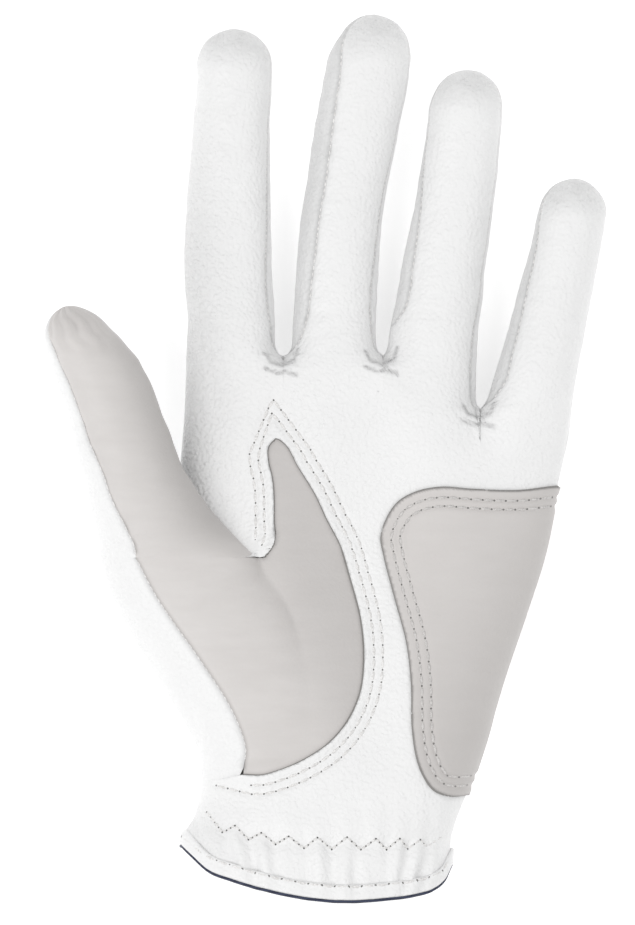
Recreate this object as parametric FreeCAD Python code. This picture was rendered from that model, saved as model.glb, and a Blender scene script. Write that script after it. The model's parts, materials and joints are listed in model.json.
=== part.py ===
"""A left-hand golf glove, lying on its back with the palm up, at the shape it has on a hand.

Frame: +Z out of the palm, +Y towards the fingertips, +X towards the little finger. The origin is the
centre of the glove's bounding box, at the lowest point of its back. All sizes are in millimetres.

The leather is a shell of one thickness. The hand part is a tube lofted through rounded sections, and
each finger and the thumb is a tube of elliptical sections made of separate walls: front, back and the
side strips (fourchettes) between the fingers. A finger bends at two creases. There the front and side
walls are cut away by a V, and the leather in the V is a crease piece of its own that folds up.
"""
import FreeCAD
import Part
import math
import os

V = FreeCAD.Vector
UP = V(0, 0, 1)

# ---- driving dimensions ------------------------------------------------------------------------
LEATHER = 0.8              # thickness of the leather
PATCH = 0.8                # thickness of a sewn-on patch
THREAD = 0.25              # height of a stitched thread line above the leather
THREAD_WIDTH = 0.5
SQUARENESS = 2.6           # exponent of the hand's sections: 2 is an ellipse, more is squarer
SEAM_Z = 14.0              # height at which the palm leather meets the back leather
KNUCKLE_Y = 13.0           # where the hand tube ends beside the little finger
CROTCH_Y = 25.4            # where its narrower end, behind the other three fingers, ends
KNUCKLES = (-35.2, 38.9, 1.2, 24.0)      # that end's left x, right x, lowest z, highest z
TOP_Z = 70.0               # higher than anything

# The hand tube: y, left x, right x, lowest z, highest z.
HAND_OUTLINES = [
    (-114.0, -35.5, 31.0, 3.2, 41.0),
    (-95.0, -35.0, 31.5, 3.2, 38.5),
    (-80.0, -30.5, 36.0, 3.2, 36.0),
    (-62.0, -38.0, 43.5, 3.0, 34.0),
    (-40.0, -42.0, 51.0, 2.5, 31.5),
    (-20.0, -40.0, 57.0, 2.0, 28.0),
    (0.0, -36.5, 60.5, 1.5, 25.5),
    (KNUCKLE_Y, -35.2, 62.0, 1.2, 24.0),
]

# Angles round a finger's section, from its little-finger side over the front, in degrees.
FRONT_START, FRONT_END = 12.0, 138.0
BACK_START, BACK_END = 222.0, 300.0

BASE_BEND, MIDDLE_BEND = 70.0, 85.0      # how far each finger crease folds, in degrees
THUMB_BEND, THUMB_TIP_BEND = 50.0, 70.0
BEND_CLEARANCE = 2.0                     # extra half angle of the V, in degrees
SLIT = 0.2                               # half gap between the walls behind a crease
THUMB_TILT = 20.0                        # the thumb's pad faces this far towards the fingers

# Each finger: spine (x, y) at its root, middle crease and tip; half widths there; y of the base crease;
# y of the crotch on each side, or None where the front leather wraps round instead of a side strip.
FINGERS = {
    "index": dict(spine=[(-23.4, 13.0), (-24.4, 64.0), (-22.9, 107.4)], width=(11.7, 10.9, 10.0),
                  depth=(11.3, 9.7, 8.8), base_y=35.2, crotch=(None, CROTCH_Y)),
    "middle": dict(spine=[(0.6, 13.0), (4.7, 65.0), (12.4, 110.4)], width=(11.6, 10.6, 10.4),
                   depth=(11.3, 9.7, 8.8), base_y=35.2, crotch=(CROTCH_Y, CROTCH_Y)),
    "ring": dict(spine=[(24.2, 13.0), (32.5, 62.0), (35.4, 97.2)], width=(11.6, 10.1, 9.4),
                 depth=(11.3, 9.3, 8.4), base_y=35.2, crotch=(CROTCH_Y, KNUCKLE_Y)),
    "little": dict(spine=[(50.4, 11.0), (57.8, 43.0), (62.3, 69.4)], width=(11.2, 9.4, 8.7),
                   depth=(11.1, 8.5, 7.8), base_y=22.5, crotch=(KNUCKLE_Y, None)),
}
ROOT_Z, FINGER_Z = 12.6, 9.8             # height of a finger's spine at its root and from its middle on

# The thumb's spine (x, y, z), half widths and half depths: in the palm, at its two creases, and its tip.
THUMB_SPINE = [(-27.0, -62.0, 18.0), (-42.2, -18.0, 24.0), (-51.7, 7.0, 25.5), (-63.4, 37.6, 26.0)]
THUMB_WIDTH = (11.5, 15.2, 11.7, 10.6)
THUMB_DEPTH = (9.5, 12.6, 11.0, 9.8)
THUMB_FRONT_START, THUMB_FRONT_END = -14.0, 166.0

# Plan outlines on the palm. The thumb piece: seam down its outer side, then round the palm to its wedge.
THUMB_SEAM = [(-41.0, -14.0), (-40.2, -35.6), (-27.8, -55.6), (-21.6, -69.4), (-21.0, -78.0)]
THUMB_CURVE = [(-21.0, -78.0), (-11.5, -78.6), (1.0, -70.6), (9.0, -58.0), (10.0, -48.0), (4.8, -28.0),
               (-6.5, -4.4), (-12.0, 3.9), (-15.0, 0.6)]
THUMB_NOTCH = [(-15.0, 0.6), (-14.2, -23.5), (-25.0, -17.5), (-41.0, -14.0)]

HEEL_TOP = [(64.0, -8.3), (58.0, -7.6), (29.0, -7.2), (20.5, -10.0), (15.2, -17.5)]
HEEL_SIDE = [(15.2, -17.5), (17.0, -32.0), (20.6, -45.0), (21.6, -66.0), (24.5, -79.5), (32.0, -84.5),
             (44.0, -83.0)]
HEEL_WRAP_Z = 9.0          # the heel patch goes round the hand's edge down to this height

CUFF_EDGE = [(-42.0, -95.5), (3.0, -110.1), (38.0, -98.0)]     # arc of the cuff's edge, in plan
HEM_DEPTH = 4.2
HEM_STITCH = 3.6           # the hem's stitching runs this far inside the edge
STITCH_ROWS = (2.2, 4.4)                 # a double row of stitching, from the edge it follows
THUMB_STITCH_PEAKS = [(-14.0, 11.0), (-13.6, 14.0)]            # where the rows meet above the wedge
ZIGZAG_Y, ZIGZAG_RISE, ZIGZAG_PITCH = -93.6, 1.6, 7.0
ZIGZAG_X = (-32.0, 29.0)
ELASTIC_WIDTH, ELASTIC = 6.0, 0.8

SLIT_TOP = (-1.0, -50.0)   # the slit in the back, from the cuff up to here
SLIT_HALF = 4.5            # half width of the slit at the cuff
BINDING = 2.4              # width of the bound edge round the slit and the cuff
BINDING_THICKNESS = 0.5

TAB_HINGE_X = -11.0        # the closure tab folds along a line at this x
TAB_ANCHOR = 8.0           # width of its sewn end
TAB_END_X = 25.0
TAB_Y = (-93.0, -66.0)
TAB_UNDER, TAB_OVER = 1.5, 2.7          # the tab lies between these heights above the back leather
HOOK_UNDER = 1.0
LOOP_HEIGHT = 0.7

KNUCKLE_BAND_Y = (-3.0, 3.0)            # elastic tape inside the back, behind the knuckles
KNUCKLE_BAND_X = (-24.0, 50.0)

os.makedirs("parts", exist_ok=True)


# ---- shapes that repeat ------------------------------------------------------------------------
def curve(points):
    """A smooth edge through the points."""
    spline = Part.BSplineCurve()
    spline.interpolate([V(*p) for p in points])
    return spline.toShape()


def closed_curve(points):
    spline = Part.BSplineCurve()
    spline.interpolate([V(*p) for p in points], PeriodicFlag=True)
    return Part.Wire([spline.toShape()])


def at_height(points, z):
    return [(x, y, z) for x, y in points]


def prism(edges, low, high):
    """The region inside a closed outline of plan edges, from one height to another."""
    face = Part.Face(Part.Wire(edges))
    face.translate(V(0, 0, low))
    return face.extrude(V(0, 0, high - low))


def plate(points, low, high):
    """The region inside a straight-sided plan outline."""
    corners = [V(x, y, 0) for x, y in points + points[:1]]
    return prism([Part.makePolygon(corners)], low, high)


def slab(low, high):
    return plate([(-150, -150), (150, -150), (150, 150), (-150, 150)], low, high)


def group(shapes):
    """Separate solids that make one piece."""
    solids = [s for shape in shapes for s in shape.Solids if s.Volume > 0.5]
    return solids[0] if len(solids) == 1 else Part.makeCompound(solids)


def write(node, *shapes):
    shape = group(shapes)
    if not shape.Solids or not shape.isValid():
        raise ValueError(f"{node} is not a valid solid")
    shape.exportStep(f"parts/{node}.step")
    box = shape.BoundBox
    print(f"{node}: {len(shape.Solids)} solids, {shape.Volume:.0f} mm3,"
          f" z {box.ZMin:.1f} to {box.ZMax:.1f}")
    return shape


# ---- the hand tube -----------------------------------------------------------------------------
def hand_section(y, left, right, low, high, offset):
    """A rounded section: a superellipse, grown outwards by the offset."""
    cx, cz = (left + right) / 2, (low + high) / 2
    half_x, half_z = (right - left) / 2 + offset, (high - low) / 2 + offset
    points = []
    for k in range(16):
        c, s = math.cos(k * math.pi / 8), math.sin(k * math.pi / 8)
        x = cx + half_x * math.copysign(abs(c) ** (2 / SQUARENESS), c)
        z = cz + half_z * math.copysign(abs(s) ** (2 / SQUARENESS), s)
        points.append((x, y, z))
    return closed_curve(points)


def between(values, k, t):
    """A value on the smooth curve through evenly weighted ones, between the k-th and the next."""
    before, a, b, after = (values[min(max(k + i, 0), len(values) - 1)] for i in (-1, 0, 1, 2))
    return a + t * ((b - before) / 2 * (1 - t) ** 2 + (b - a) * t * (3 - 2 * t)
                    - (after - a) / 2 * t * (1 - t))


def hand(offset):
    """The hand tube as a full solid whose surface is this far outside the leather's outer face."""
    columns = list(zip(*HAND_OUTLINES))
    sections = []
    for k in range(len(HAND_OUTLINES) - 1):
        for t in (0.0, 0.5):
            y = columns[0][k] * (1 - t) + columns[0][k + 1] * t
            sections.append((y, *[between(column, k, t) for column in columns[1:]]))
    sections.append(HAND_OUTLINES[-1])
    return Part.makeLoft([hand_section(*s, offset) for s in sections], True, True)


def knuckle_tube(offset):
    """The narrower end of the hand tube behind the index, middle and ring fingers, as a full solid."""
    ends = [hand_section(y, *KNUCKLES, offset) for y in (KNUCKLE_Y, CROTCH_Y)]
    return Part.makeLoft(ends, True, True)


def cuff_arc(inset):
    (x0, y0), (x1, y1), (x2, y2) = CUFF_EDGE
    return Part.Arc(V(x0, y0 + inset, 0), V(x1, y1 + inset, 0), V(x2, y2 + inset, 0)).toShape()


def above_cuff(inset=0.0, top=KNUCKLE_Y):
    """Everything from the cuff's curved edge, moved inwards by the inset, up to a straight line."""
    (x0, y0), _, (x2, y2) = CUFF_EDGE
    side = 80.0
    outline = Part.makePolygon([V(x2, y2 + inset, 0), V(side, y2 + inset, 0), V(side, top, 0),
                                V(-side, top, 0), V(-side, y0 + inset, 0), V(x0, y0 + inset, 0)])
    return prism([cuff_arc(inset)] + outline.Edges, -5, TOP_Z)


def band(start, end):
    """The strip between two insets from the cuff's edge."""
    return above_cuff(start).cut(above_cuff(end))


def layer(inner, outer):
    """The skin of the hand tube between two offsets."""
    return HAND[outer].cut(HAND[inner])


def sampled(points, count):
    """Evenly spaced plan points along the smooth curve through the given ones."""
    return [(p.x, p.y) for p in curve(at_height(points, 0)).discretize(Number=count)]


def beside(points, gap):
    """The run of plan points moved to its left by the gap, with mitred corners."""
    moved = []
    for k, (x, y) in enumerate(points):
        (x0, y0), (x1, y1) = points[max(k - 1, 0)], points[min(k + 1, len(points) - 1)]
        before, after = V(x - x0, y - y0, 0), V(x1 - x, y1 - y, 0)
        before = before.normalize() if before.Length > 1e-9 else V(after).normalize()
        after = after.normalize() if after.Length > 1e-9 else V(before)
        facing = (before + after).normalize()
        reach = gap / max(facing.dot(after), 0.5)
        moved.append((x - facing.y * reach, y + facing.x * reach))
    return moved


def thread_line(points):
    """The plan region of a thread line: a narrow band on both sides of a run of plan points."""
    outline = beside(points, THREAD_WIDTH / 2) + beside(points, -THREAD_WIDTH / 2)[::-1]
    return plate(outline, -5, TOP_Z)


# ---- fingers -----------------------------------------------------------------------------------
class Limb:
    """A finger or thumb: stations along a spine, each with a centre, a direction, and half sizes."""

    def __init__(self, spine, width, depth, tilt=0.0):
        self.tilt = math.radians(tilt)
        self.stations = []
        for k in range(len(spine) - 1):
            start, end = V(*spine[k]), V(*spine[k + 1])
            last = k == len(spine) - 2
            length = (end - start).Length
            along = V(end.x - start.x, end.y - start.y, 0).normalize()
            if k:
                before = V(start.x - spine[k - 1][0], start.y - spine[k - 1][1], 0).normalize()
                facing = (along + before).normalize()
            else:
                facing = along
            self.add(start, facing, width[k], depth[k])
            reach = width[k + 1] if last else 0.0
            steps = 2 if length > 25 else 1
            for i in range(1, steps):
                t = i * (length - reach) / length / steps
                self.add(start + (end - start) * t, along, self.mix(width, k, t), self.mix(depth, k, t))
            if last:
                for k_cap in (0.0, 0.4, 0.68, 0.87, 0.98):
                    round_off = math.sqrt(1 - k_cap ** 2)
                    centre = end - (end - start).normalize() * reach * (1 - k_cap)
                    self.add(centre, along, width[k + 1] * round_off, depth[k + 1] * round_off)

    @staticmethod
    def mix(values, k, t):
        return values[k] * (1 - t) + values[k + 1] * t

    def add(self, centre, along, width, depth):
        self.stations.append((centre, along, width, depth))

    def axes(self, along):
        """Across the limb towards the little finger, and out of its front."""
        flat = along.cross(UP)
        across = flat * math.cos(self.tilt) - UP * math.sin(self.tilt)
        out = UP * math.cos(self.tilt) + flat * math.sin(self.tilt)
        return across, out

    def arc(self, station, start, end, inset):
        centre, along, width, depth = station
        across, out = self.axes(along)
        w, d = max(width - inset, 0.3), max(depth - inset, 0.3)
        points = []
        for i in range(7):
            angle = math.radians(start + (end - start) * i / 6)
            p = centre + across * (w * math.cos(angle)) + out * (d * math.sin(angle))
            points.append((p.x, p.y, p.z))
        return curve(points)

    def wall(self, start, end):
        """The leather between two angles of every section, from the root to the tip."""
        wires = []
        for station in self.stations:
            outer, inner = self.arc(station, start, end, 0), self.arc(station, start, end, LEATHER)
            sides = [Part.LineSegment(outer.Vertexes[k].Point, inner.Vertexes[k].Point).toShape()
                     for k in (0, 1)]
            wires.append(Part.Wire([outer, sides[1], inner, sides[0]]))
        return Part.makeLoft(wires, True, True)

    def full(self):
        """The limb as a full solid."""
        wires = []
        for station in self.stations:
            centre, along, width, depth = station
            across, out = self.axes(along)
            points = []
            for i in range(12):
                angle = math.radians(30 * i)
                p = centre + across * (width * math.cos(angle)) + out * (depth * math.sin(angle))
                points.append((p.x, p.y, p.z))
            wires.append(closed_curve(points))
        return Part.makeLoft(wires, True, True)


def crease(point, along, out, bend):
    """The V that is cut out of a limb's front and sides so that it can fold by the bend, as three
    regions: the V in front of the fold line, everything beyond it, and everything before it."""
    size = 45.0
    across = along.cross(out)
    spread = size * math.tan(math.radians(bend / 2 + BEND_CLEARANCE))

    def region(corners):
        points = [point + along * s + out * d - across * size for s, d in corners]
        return Part.Face(Part.makePolygon(points + points[:1])).extrude(across * (2 * size))

    vee = region([(-SLIT, 0), (SLIT, 0), (spread, size), (-spread, size)])
    beyond = region([(SLIT, 0), (spread, size), (3 * size, size), (3 * size, -size), (SLIT, -size)])
    before = region([(-SLIT, 0), (-SLIT, -size), (-3 * size, -size), (-3 * size, size), (-spread, size)])
    return vee, beyond, before


def common(shapes, region):
    return [c for c in (shape.common(region) for shape in shapes) if c.Volume > 0.5]


def finger(name, spine, width, depth, base_y, crotch):
    """One finger's nodes. Returns its root walls, which stay with the hand, and its two fold points."""
    z = (ROOT_Z, FINGER_Z, FINGER_Z - 0.4)
    points = [(x, y, h) for (x, y), h in zip(spine, z)]
    limb = Limb(points, width, depth)
    left, right = crotch
    walls = {
        "front": limb.wall(FRONT_START if right else 0, FRONT_END if left else 180),
        "back": limb.wall(BACK_START if left else 180, BACK_END if right else 360),
    }
    strips = []
    if right:
        strips.append(limb.wall(BACK_END - 360, FRONT_START).common(
            plate([(-150, right), (150, right), (150, 150), (-150, 150)], -5, TOP_Z)))
    if left:
        strips.append(limb.wall(FRONT_END, BACK_START).common(
            plate([(-150, left), (150, left), (150, 150), (-150, 150)], -5, TOP_Z)))

    root, middle, tip = (V(*p) for p in points)
    along_low, along_high = (middle - root), (tip - middle)
    along_low.z = along_high.z = 0
    along_low.normalize()
    along_high.normalize()
    share = (base_y - root.y) / (middle.y - root.y)
    base = root + (middle - root) * share
    base_v, after_base, before_base = crease(base, along_low, UP, BASE_BEND)
    middle_v, after_middle, before_middle = crease(middle, (along_low + along_high).normalize(), UP,
                                                   MIDDLE_BEND)
    start = KNUCKLE_Y if right is None else CROTCH_Y
    off_hand = plate([(-150, start), (150, start), (150, 150), (-150, 150)], -5, TOP_Z)
    everything = [walls["front"], walls["back"]] + strips

    def part_of(shapes, *regions):
        for region in regions:
            shapes = common(shapes, region)
        return shapes

    write(f"{name}_base_crease", *part_of(everything, base_v, off_hand))
    write(f"{name}_middle_crease", *part_of(everything, middle_v))
    for wall in ("front", "back"):
        write(f"{name}_lower_{wall}", *part_of([walls[wall]], after_base, before_middle))
        write(f"{name}_upper_{wall}", *part_of([walls[wall]], after_middle))
    write(f"{name}_lower_fourchette", *part_of(strips, after_base, before_middle))
    write(f"{name}_upper_fourchette", *part_of(strips, after_middle))
    print(f"  {name} folds at {tuple(round(c, 3) for c in base)} and"
          f" {tuple(round(c, 3) for c in middle)}, along {tuple(round(c, 5) for c in along_low)} and"
          f" {tuple(round(c, 5) for c in (along_low + along_high).normalize())}")
    return part_of(everything, before_base, off_hand), limb.full()


def thumb():
    """The free thumb's nodes. Returns the walls that stay with the hand and the full thumb."""
    limb = Limb(THUMB_SPINE, THUMB_WIDTH, THUMB_DEPTH, THUMB_TILT)
    front = limb.wall(THUMB_FRONT_START, THUMB_FRONT_END)
    back = limb.wall(THUMB_FRONT_END, THUMB_FRONT_START + 360)
    folds = []
    for k in (1, 2):
        centre, along = V(*THUMB_SPINE[k]), V(*THUMB_SPINE[k + 1]) - V(*THUMB_SPINE[k - 1])
        along.z = 0
        along.normalize()
        across, out = limb.axes(along)
        bend = (THUMB_BEND, THUMB_TIP_BEND)[k - 1]
        folds.append(crease(centre, along, out, bend))
        print(f"  thumb folds at {THUMB_SPINE[k]} about {tuple(round(c, 5) for c in across)}")
    (base_v, after_base, before_base), (tip_v, after_tip, before_tip) = folds
    front, back = front.cut(HAND[0.0]), back.cut(HAND[0.0])
    write("thumb_base_crease", *common([front, back], base_v))
    write("thumb_tip_crease", *common([front, back], tip_v))
    for wall, shape in (("front", front), ("back", back)):
        write(f"thumb_lower_{wall}", *common(common([shape], after_base), before_tip))
        write(f"thumb_upper_{wall}", *common([shape], after_tip))
    stays = [common([shape], before_base) for shape in (front, back)]
    return stays, limb.full()


# ---- the model ---------------------------------------------------------------------------------
HAND = {offset: hand(offset) for offset in
        (-LEATHER - ELASTIC, -LEATHER, 0.0, THREAD, BINDING_THICKNESS, LOOP_HEIGHT, PATCH,
         PATCH + THREAD, HOOK_UNDER, TAB_UNDER, TAB_OVER)}
WHOLE_CUFF = above_cuff()
FRONT_HALF = slab(SEAM_Z, TOP_Z)
BACK_HALF = slab(-5, SEAM_Z)


def slit_region(margin):
    """The plan region of the slit in the back, widened by a margin."""
    x, top = SLIT_TOP
    half = SLIT_HALF + margin
    return plate([(x - half, -120), (x + half, -120), (x + 0.8 + margin, top + margin),
                  (x - 0.8 - margin, top + margin)], -5, SEAM_Z)


def thumb_outline():
    seam, sweep = curve(at_height(THUMB_SEAM, 0)), curve(at_height(THUMB_CURVE, 0))
    notch = Part.makePolygon([V(*p) for p in at_height(THUMB_NOTCH, 0)])
    return seam, sweep, notch


def heel_outline():
    top, side = curve(at_height(HEEL_TOP, 0)), curve(at_height(HEEL_SIDE, 0))
    (x0, y0), (x1, y1) = HEEL_SIDE[-1], HEEL_TOP[0]
    outside = Part.makePolygon([V(x0, y0, 0), V(80, y0, 0), V(80, y1, 0), V(x1, y1, 0)])
    return top, side, outside


def make_hand_panels():
    """Palm, back, the thumb piece let into the palm, and the leather at the roots of the fingers."""
    stays, full_thumb = thumb()
    skin = layer(-LEATHER, 0.0).common(WHOLE_CUFF)
    palm = skin.common(FRONT_HALF).cut(full_thumb)
    seam, sweep, notch = thumb_outline()
    opening = prism([seam, sweep] + notch.Edges, SEAM_Z, TOP_Z)
    inset = palm.common(opening)
    rest = palm.cut(opening).Solids
    outer_strips = [s for s in rest if s.CenterOfMass.x < -25 and s.CenterOfMass.y < -20]
    panels = [s for s in rest if s not in outer_strips and s.Volume > 50]
    write("thumb_palm_piece", inset, *stays[0])
    write("thumb_back_piece", *outer_strips, *stays[1])
    knuckles = knuckle_tube(0.0).cut(knuckle_tube(-LEATHER))
    write("palm_panel", *panels, knuckles.common(FRONT_HALF))
    back = skin.common(BACK_HALF).cut(slit_region(0)).cut(full_thumb)
    write("back_panel", back, knuckles.common(BACK_HALF))


def make_heel_patch():
    top, side, outside = heel_outline()
    outline = prism([top, side] + outside.Edges, HEEL_WRAP_Z, TOP_Z)
    write("heel_patch", layer(0.0, PATCH).common(outline))


def make_cuff():
    """Hem, bound edge and slit binding, and the elastic tape inside."""
    slit = slit_region(0)
    hem = layer(0.0, BINDING_THICKNESS).common(band(0.0, HEM_DEPTH))
    write("cuff_hem", hem.cut(slit_region(BINDING)))
    around_slit = slit_region(BINDING).cut(slit)
    write("slit_binding", layer(0.0, BINDING_THICKNESS).common(around_slit).common(WHOLE_CUFF))
    edge = layer(-LEATHER, 0.0).common(band(-0.6, 0.0)).cut(slit)
    write("cuff_edge_binding", edge)
    low, high = ZIGZAG_Y - ELASTIC_WIDTH / 2, ZIGZAG_Y + ELASTIC_WIDTH / 2
    tape = plate([(-80, low), (80, low), (80, high), (-80, high)], -5, TOP_Z)
    write("wrist_elastic", layer(-LEATHER - ELASTIC, -LEATHER).common(tape).cut(slit_region(BINDING)))
    (x0, x1), (y0, y1) = KNUCKLE_BAND_X, KNUCKLE_BAND_Y
    tape = plate([(x0, y0), (x1, y0), (x1, y1), (x0, y1)], -5, SEAM_Z)
    write("knuckle_elastic", layer(-LEATHER - ELASTIC, -LEATHER).common(tape))


def make_closure():
    """The tab across the slit, its sewn end, and its hook and loop pads."""
    y0, y1 = TAB_Y
    end = TAB_END_X
    mid = (y0 + y1) / 2
    start = TAB_HINGE_X
    outline = [Part.LineSegment(V(start, y1, 0), V(start, y0, 0)).toShape(),
               Part.LineSegment(V(start, y0, 0), V(end - 10, y0 + 2, 0)).toShape(),
               Part.Arc(V(end - 10, y0 + 2, 0), V(end, mid, 0), V(end - 10, y1 - 2, 0)).toShape(),
               Part.LineSegment(V(end - 10, y1 - 2, 0), V(start, y1, 0)).toShape()]
    write("closure_tab", layer(TAB_UNDER, TAB_OVER).common(prism(outline, -5, SEAM_Z)))
    hook = plate([(6, y0 + 4.5), (18, y0 + 5), (18, y1 - 5), (6, y1 - 4.5)], -5, SEAM_Z)
    write("tab_hook_pad", layer(HOOK_UNDER, TAB_UNDER).common(hook))
    loop = plate([(4.8, y0 + 2), (24, y0 + 3), (24, y1 - 3), (4.8, y1 - 2)], -5, SEAM_Z)
    loop = loop.cut(slit_region(BINDING))
    write("back_loop_pad", layer(0.0, LOOP_HEIGHT).common(loop))
    anchor = plate([(start - TAB_ANCHOR, y0 + 0.5), (start - 2 * SLIT, y0), (start - 2 * SLIT, y1),
                    (start - TAB_ANCHOR, y1 - 0.5)], -5, SEAM_Z)
    write("tab_sewn_end", layer(0.0, TAB_OVER).common(anchor))


def make_stitching():
    """Thread lines: two rows round the thumb piece, two on the heel patch, the zigzag and the hem."""
    surface = layer(0.0, THREAD).common(FRONT_HALF)
    rows = []
    for gap, (x, y) in zip(STITCH_ROWS, THUMB_STITCH_PEAKS):
        right = beside(sampled(THUMB_CURVE[:-2], 30), -gap)
        left = beside([THUMB_NOTCH[1], THUMB_NOTCH[0]], gap)[::-1]
        rows.append(surface.common(thread_line(right + [(x + 1.5, y - 2.2), (x, y), (x - 1.6, y - 2.6)] + left)))
    write("thumb_piece_stitching", *rows)
    on_patch = layer(PATCH, PATCH + THREAD).common(FRONT_HALF)
    edge = sampled(HEEL_TOP[1:] + HEEL_SIDE[1:], 40)
    write("heel_patch_stitching", *[on_patch.common(thread_line(beside(edge, gap)))
                                    for gap in STITCH_ROWS])
    (x0, x1), half = ZIGZAG_X, ZIGZAG_PITCH / 2
    count = int((x1 - x0) / half)
    zigzag = [(x0 + k * half, ZIGZAG_Y + (ZIGZAG_RISE if k % 2 else -ZIGZAG_RISE)) for k in range(count)]
    write("wrist_zigzag_stitching", surface.common(thread_line(zigzag)))
    hem = [(p.x, p.y) for p in cuff_arc(HEM_STITCH).discretize(Number=40)]
    on_hem = layer(BINDING_THICKNESS, PATCH).common(FRONT_HALF)
    write("hem_stitching", on_hem.common(thread_line(hem)))


def make_fingers():
    """The fingers, and the leather at their roots: their stubs and the webs that close the hand."""
    stubs, tubes = [], []
    for name, sizes in FINGERS.items():
        stub, tube = finger(name, **sizes)
        stubs += [piece.cut(knuckle_tube(0.0)) for piece in stub]
        tubes.append(tube)
    wide = Part.makeLoft([hand_section(y, *HAND_OUTLINES[-1][1:], 0.0)
                          for y in (KNUCKLE_Y, KNUCKLE_Y + LEATHER)], True, True)
    webs = [wide.cut(knuckle_tube(0.0)), knuckle_tube(-LEATHER).common(
        plate([(-60, CROTCH_Y - LEATHER), (60, CROTCH_Y - LEATHER), (60, CROTCH_Y), (-60, CROTCH_Y)],
              -5, TOP_Z))]
    for tube in tubes:
        webs = [web.cut(tube) for web in webs]
    write("finger_webs", *webs)
    write("finger_roots", *stubs)


if __name__ == "__main__":
    make_hand_panels()
    make_heel_patch()
    make_cuff()
    make_closure()
    make_fingers()
    make_stitching()
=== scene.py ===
"""A left-hand golf glove lying on its back, palm up, filled as if a hand were inside it.

Every surface is worked out in millimetres on a grid of two parameters and put into the row frame in
metres: +Z out of the palm, +Y to the fingertips, +X to the little finger.
"""
import json
import math

import bmesh
import bpy
import numpy as np
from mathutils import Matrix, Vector


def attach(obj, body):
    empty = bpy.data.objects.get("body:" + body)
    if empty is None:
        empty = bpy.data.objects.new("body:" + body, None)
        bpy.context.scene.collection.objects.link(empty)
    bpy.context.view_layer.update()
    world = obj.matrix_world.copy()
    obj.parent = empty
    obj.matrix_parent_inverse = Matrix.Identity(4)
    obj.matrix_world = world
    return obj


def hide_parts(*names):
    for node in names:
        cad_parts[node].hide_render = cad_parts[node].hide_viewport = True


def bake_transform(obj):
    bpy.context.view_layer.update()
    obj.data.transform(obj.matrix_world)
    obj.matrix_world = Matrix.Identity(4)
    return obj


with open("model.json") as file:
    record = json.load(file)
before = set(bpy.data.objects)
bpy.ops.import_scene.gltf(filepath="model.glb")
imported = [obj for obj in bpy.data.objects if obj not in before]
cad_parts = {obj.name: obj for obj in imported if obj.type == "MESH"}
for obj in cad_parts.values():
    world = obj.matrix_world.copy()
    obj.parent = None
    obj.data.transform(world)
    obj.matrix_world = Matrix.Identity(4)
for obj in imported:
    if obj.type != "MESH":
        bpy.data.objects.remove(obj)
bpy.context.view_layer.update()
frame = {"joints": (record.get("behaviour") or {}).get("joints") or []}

FINGERS = ("index", "middle", "ring", "little")
PI = math.pi


# ---- numbers that vary smoothly -----------------------------------------------------------------
def through(x, knots, values):
    """The smooth curve through the values: on each interval the cubic whose slopes at its ends are the
    slopes of the parabola through that knot and its neighbours. It stays level outside the knots."""
    k, v = np.asarray(knots, float), np.asarray(values, float)
    slope = np.gradient(v, k)
    x = np.clip(x, k[0], k[-1])
    i = np.clip(np.searchsorted(k, x) - 1, 0, len(k) - 2)
    h = k[i + 1] - k[i]
    t = (x - k[i]) / h
    return ((2 * t ** 3 - 3 * t ** 2 + 1) * v[i] + (t ** 3 - 2 * t ** 2 + t) * h * slope[i]
            + (3 * t ** 2 - 2 * t ** 3) * v[i + 1] + (t ** 3 - t ** 2) * h * slope[i + 1])


def rise(a, b, x):
    """0 before a, 1 after b, and the smoothstep 3t^2 - 2t^3 between."""
    t = np.clip((np.asarray(x, float) - a) / (b - a), 0, 1)
    return t * t * (3 - 2 * t)


def hump(x, centre, width):
    """A bell of height 1."""
    return np.exp(-((x - centre) / width) ** 2)


def unit(v):
    """Vectors of length 1 in the given directions."""
    return v / np.maximum(np.linalg.norm(v, axis=-1, keepdims=True), 1e-9)


def soft_max(a, b, k):
    """The larger of two heights, rounded where they differ by less than k."""
    h = np.maximum(k - np.abs(a - b), 0) / np.maximum(k, 1e-9)
    return np.maximum(a, b) + h * h * k / 4


def ripple(x, y, seed, wave):
    """Gentle unevenness between -1 and 1: the mean of six sine waves of about the given wavelength in
    seeded directions."""
    rng = np.random.default_rng(seed)
    total = 0
    for angle, stretch, phase in zip(rng.uniform(0, 2 * PI, 6), rng.uniform(0.6, 1.6, 6),
                                     rng.uniform(0, 2 * PI, 6)):
        total = total + np.sin((x * math.cos(angle) + y * math.sin(angle)) * 2 * PI / wave * stretch + phase)
    return total / 6


# ---- the filled hand ----------------------------------------------------------------------------
ROWS_Y = (-112, -95, -84, -77, -65, -50, -25, 0, 13, 26)
HAND_LEFT = (-37.2, -35.4, -31.4, -31.2, -33.0, -37.0, -39.0, -36.3, -35.3, -35.0)
HAND_LOW = (3.2, 3.2, 3.2, 3.2, 3.0, 2.8, 2.0, 1.5, 1.2, 1.2)
HAND_HIGH = (40.5, 38.0, 36.2, 35.3, 33.4, 31.6, 28.0, 25.4, 24.4, 24.0)
RIGHT_Y = (-112, -99.4, -91.9, -84.4, -76.9, -69.4, -61.9, -54.4, -39.4, -24.4, -9.4, 0, 13, 26)
HAND_RIGHT = (31.0, 31.2, 32.2, 35.0, 37.6, 40.0, 42.0, 44.3, 49.4, 54.2, 57.4, 59.6, 61.6, 62.5)
OUTER_Y = (-80, -73, -65.6, -58.1, -50.6, -43.1, -35.6, -28.1, -25)
OUTER_LEFT = (-31.3, -32.0, -35.8, -40.2, -44.8, -49.2, -53.0, -55.6, -56.4)
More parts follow.
